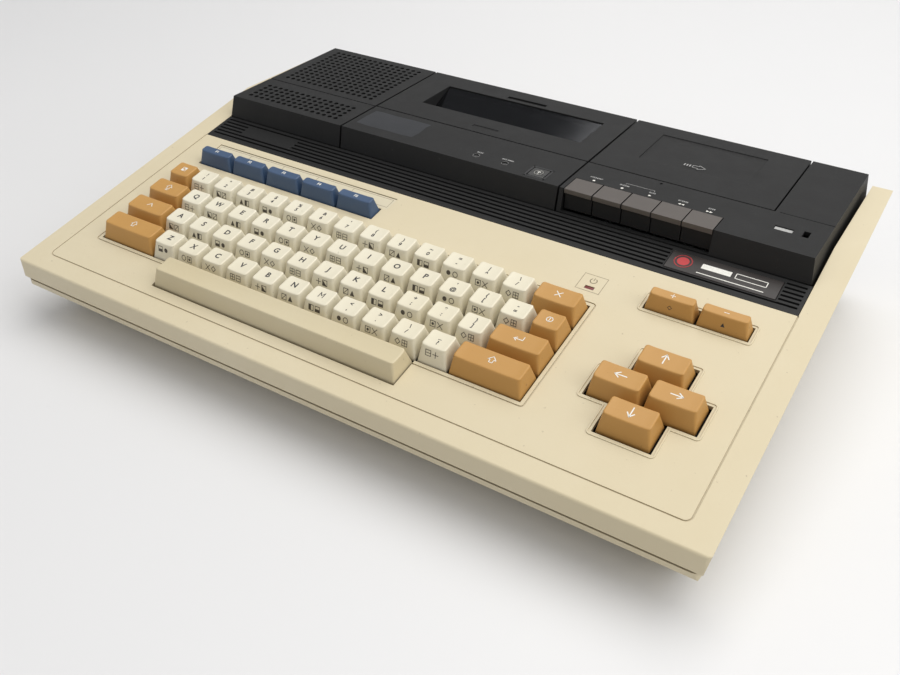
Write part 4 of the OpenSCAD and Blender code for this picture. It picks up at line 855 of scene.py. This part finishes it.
def unit_marks():
    top = on_top_of_units
    marks = [(circle_line(x, 190.6, 2.15, 0.22, 28), top) for x in (210.0, 230.4)]
    for text, x in (("0123", 210.0), ("012 3456", 230.0)):
        marks.append((moved(glyphs(text, 1.5), x, 195.4), top))
    print_on("pen_button_marks", "ink_grey", ROOT, marks)
    print_on("feed_surround", "bare_dark", ROOT, [(frame_of(247.6, 260.6, 183.8, 196.8, 1.1), top)])
    signs = [(disc(286.5, 199.0, 0.85, 14), top), (disc(304.6, 199.0, 0.85, 14), top),
             (triangle(322.1, 199.0, 1.9), top),
             (triangle(342.0, 199.0, 1.8, -1), top), (triangle(340.0, 199.0, 1.8, -1), top),
             (triangle(357.0, 199.0, 1.8), top), (triangle(359.0, 199.0, 1.8), top)]
    print_on("transport_signs", "ink_white", ROOT, signs)
    faint = [(moved(glyphs(t, 1.4), x, 202.9), top) for x, t in
             ((286.5, "01234567"), (304.6, "012345"), (322.1, "0123"), (341.0, "012345"), (358.0, "0123"))]
    faint += [(stroke([(304.6, 204.6), (304.6, 206.0), (322.4, 206.0), (322.4, 204.6)], 0.25), top)]
    print_on("transport_lines", "ink_grey", ROOT, faint)
    shape = [(0.0, 1.6), (3.6, 1.6), (3.6, 3.1), (8.2, 0.0), (3.6, -3.1), (3.6, -1.6), (0.0, -1.6)]
    arrow_line = stroke([(328.9 + x, 249.0 + y * 0.9) for x, y in shape], 0.35, True)
    tail = [q for i in range(3) for q in bar(323.4 + 1.7 * i, 324.1 + 1.7 * i, 247.6, 250.4)]
    print_on("lid_arrow", "ink_grey", BODY["cassette_lid"], [(arrow_line + tail, top)])
    feed = lambda x, y: on_units(x, y, 0.2 + INK)
    print_on("feed_sign", "ink_white", BODY["feed_button"], [
        (circle_line(254.1, 190.3, 2.7, 0.4, 28), feed), (arrow(254.1, 190.3, 3.2, 1.2, 0.4, 90), feed)])
    edge = [(116.5, 191.0), (128.0, 190.2), (141.0, 190.8), (152.0, 190.3), (160.8, 191.3), (161.6, 199.0),
            (160.4, 208.5), (161.2, 213.6), (148.0, 213.9), (134.0, 213.2), (122.0, 213.8), (116.9, 213.0),
            (116.2, 203.0)]
    print_on("old_label_residue", "residue", ROOT, [([edge], lambda x, y: on_units(x, y, INK * 0.4))])


def rear_marks():
    back = lambda x, z: desk(x, CASE_D + INK, z)
    rear = []
    for i, x in enumerate((403.0, 362.0, 325.0, 300.0, 275.0, 250.0, 231.0, 213.0)):
        rear += [([[(x - px, 46.8 + pz) for px, pz in poly] for poly in glyphs(str(i + 1), 3.2)], back)]
    print_on("rear_numbers", "ink_brown", ROOT, rear)


def edge_contacts():
    """Gold fingers on the two edge tabs of the main board."""
    top = lambda x, y: desk(x, y, BOARD_TOP + INK)
    fingers = []
    for middle, width in ((125.0, 46.0), (60.0, 72.0)):
        count = int((width - 6.0) / 2.54)
        for i in range(count):
            x = middle + (i - (count - 1) / 2) * 2.54
            fingers += bar(x - 0.75, x + 0.75, 291.0, 298.6)
    print_on("edge_contacts", "gold_contact", ROOT, [(fingers, top)])


def underside_marks():
    """Bare rating label, and dark crosses on the case screws as painted shade for their cross recesses."""
    under = lambda x, y: desk(x, y, TRAY_FLOOR - INK)
    flip = lambda shapes: [list(reversed(q)) for q in shapes]
    print_on("rating_label", "button_silver", ROOT, [(flip(bar(180.0, 252.0, 110.0, 148.0)), under)])
    deeper = lambda x, y: desk(x, y, TRAY_FLOOR - 2 * INK)
    lines = frame_of(181.5, 250.5, 111.5, 146.5, 0.3)
    for i in range(4):
        lines += bar(184.0, 228.0 + 6.0 * (i % 2), 117.0 + 6.5 * i, 117.4 + 6.5 * i)
    print_on("rating_lines", "ink_dark", ROOT, [(flip(lines), deeper)])
    heads = []
    for x in SCREWS_X:
        for y in SCREWS_Y:
            heads += bar(x - 1.7, x + 1.7, y - 0.35, y + 0.35) + bar(x - 0.35, x + 0.35, y - 1.7, y + 1.7)
    # Painted shade: flat dark crosses where the screws' cross recesses are.
    print_on("painted_screw_recess_shade", "bare_dark", ROOT, [(flip(heads), lambda x, y: desk(x, y, SCREW_HEAD - INK))])


name_marks()
case_marks()
unit_marks()
rear_marks()
edge_contacts()
underside_marks()


# ---------- shells ----------

def second_finish(ob, material, test):
    """Gives the faces that pass a test another finish."""
    ob.data.materials.append(MATERIALS[material])
    for p in ob.data.polygons:
        if test(p):
            p.material_index = 1


for name, soft in (
        ("upper_case", 0.14), ("lower_case", 0.5), ("rib_panel", 0.25), ("badge_plate", 0.3), ("lamps", 0.3),
        ("speaker_cover", 0.4), ("plotter_case", 0.3), ("plotter_lid", 0.22), ("lid_window", 0.2),
        ("recorder_case", 0.3), ("cassette_lid", 0.22), ("tape_deck", 0.25), ("supply_spindle", 0.2),
        ("takeup_spindle", 0.2), ("keyboard_plate", 0.2), ("circuit_boards", 0.15), ("power_supply", 0.5),
        ("rear_sockets", 0.25), ("power_switch", 0.5), ("reset_button", 0.4), ("volume_wheel", 0.2),
        ("speaker", 0.3), ("plotter_frame", 0.2), ("pen_carriage", 0.4), ("platen_roller", 0.3),
        ("paper_roll", 0.3), ("pen_buttons", 0.3), ("feed_button", 0.35), ("label_strip", 0.1),
        ("case_screws", 0.3), ("feet", 0.8), ("stop_key", 0.5), ("record_key", 0.5), ("play_key", 0.5),
        ("rewind_key", 0.5), ("forward_key", 0.5)):
    ob = shell(name, soft, 2, "unit_black" if SLOT[name] == "deck_key_grey" else None)
    if SLOT[name] == "deck_key_grey":
        second_finish(ob, "deck_key_grey", lambda p: p.center.z > GREY_FROM_Z * MM)
    elif name == "lamps":
        second_finish(ob, "ink_grey", lambda p: p.center.x > desk(INDICATOR_FROM_X, 0, 0).x)
    elif name == "circuit_boards":
        second_finish(ob, "socket_black", lambda p: p.center.z > CHIPS_FROM_Z * MM)
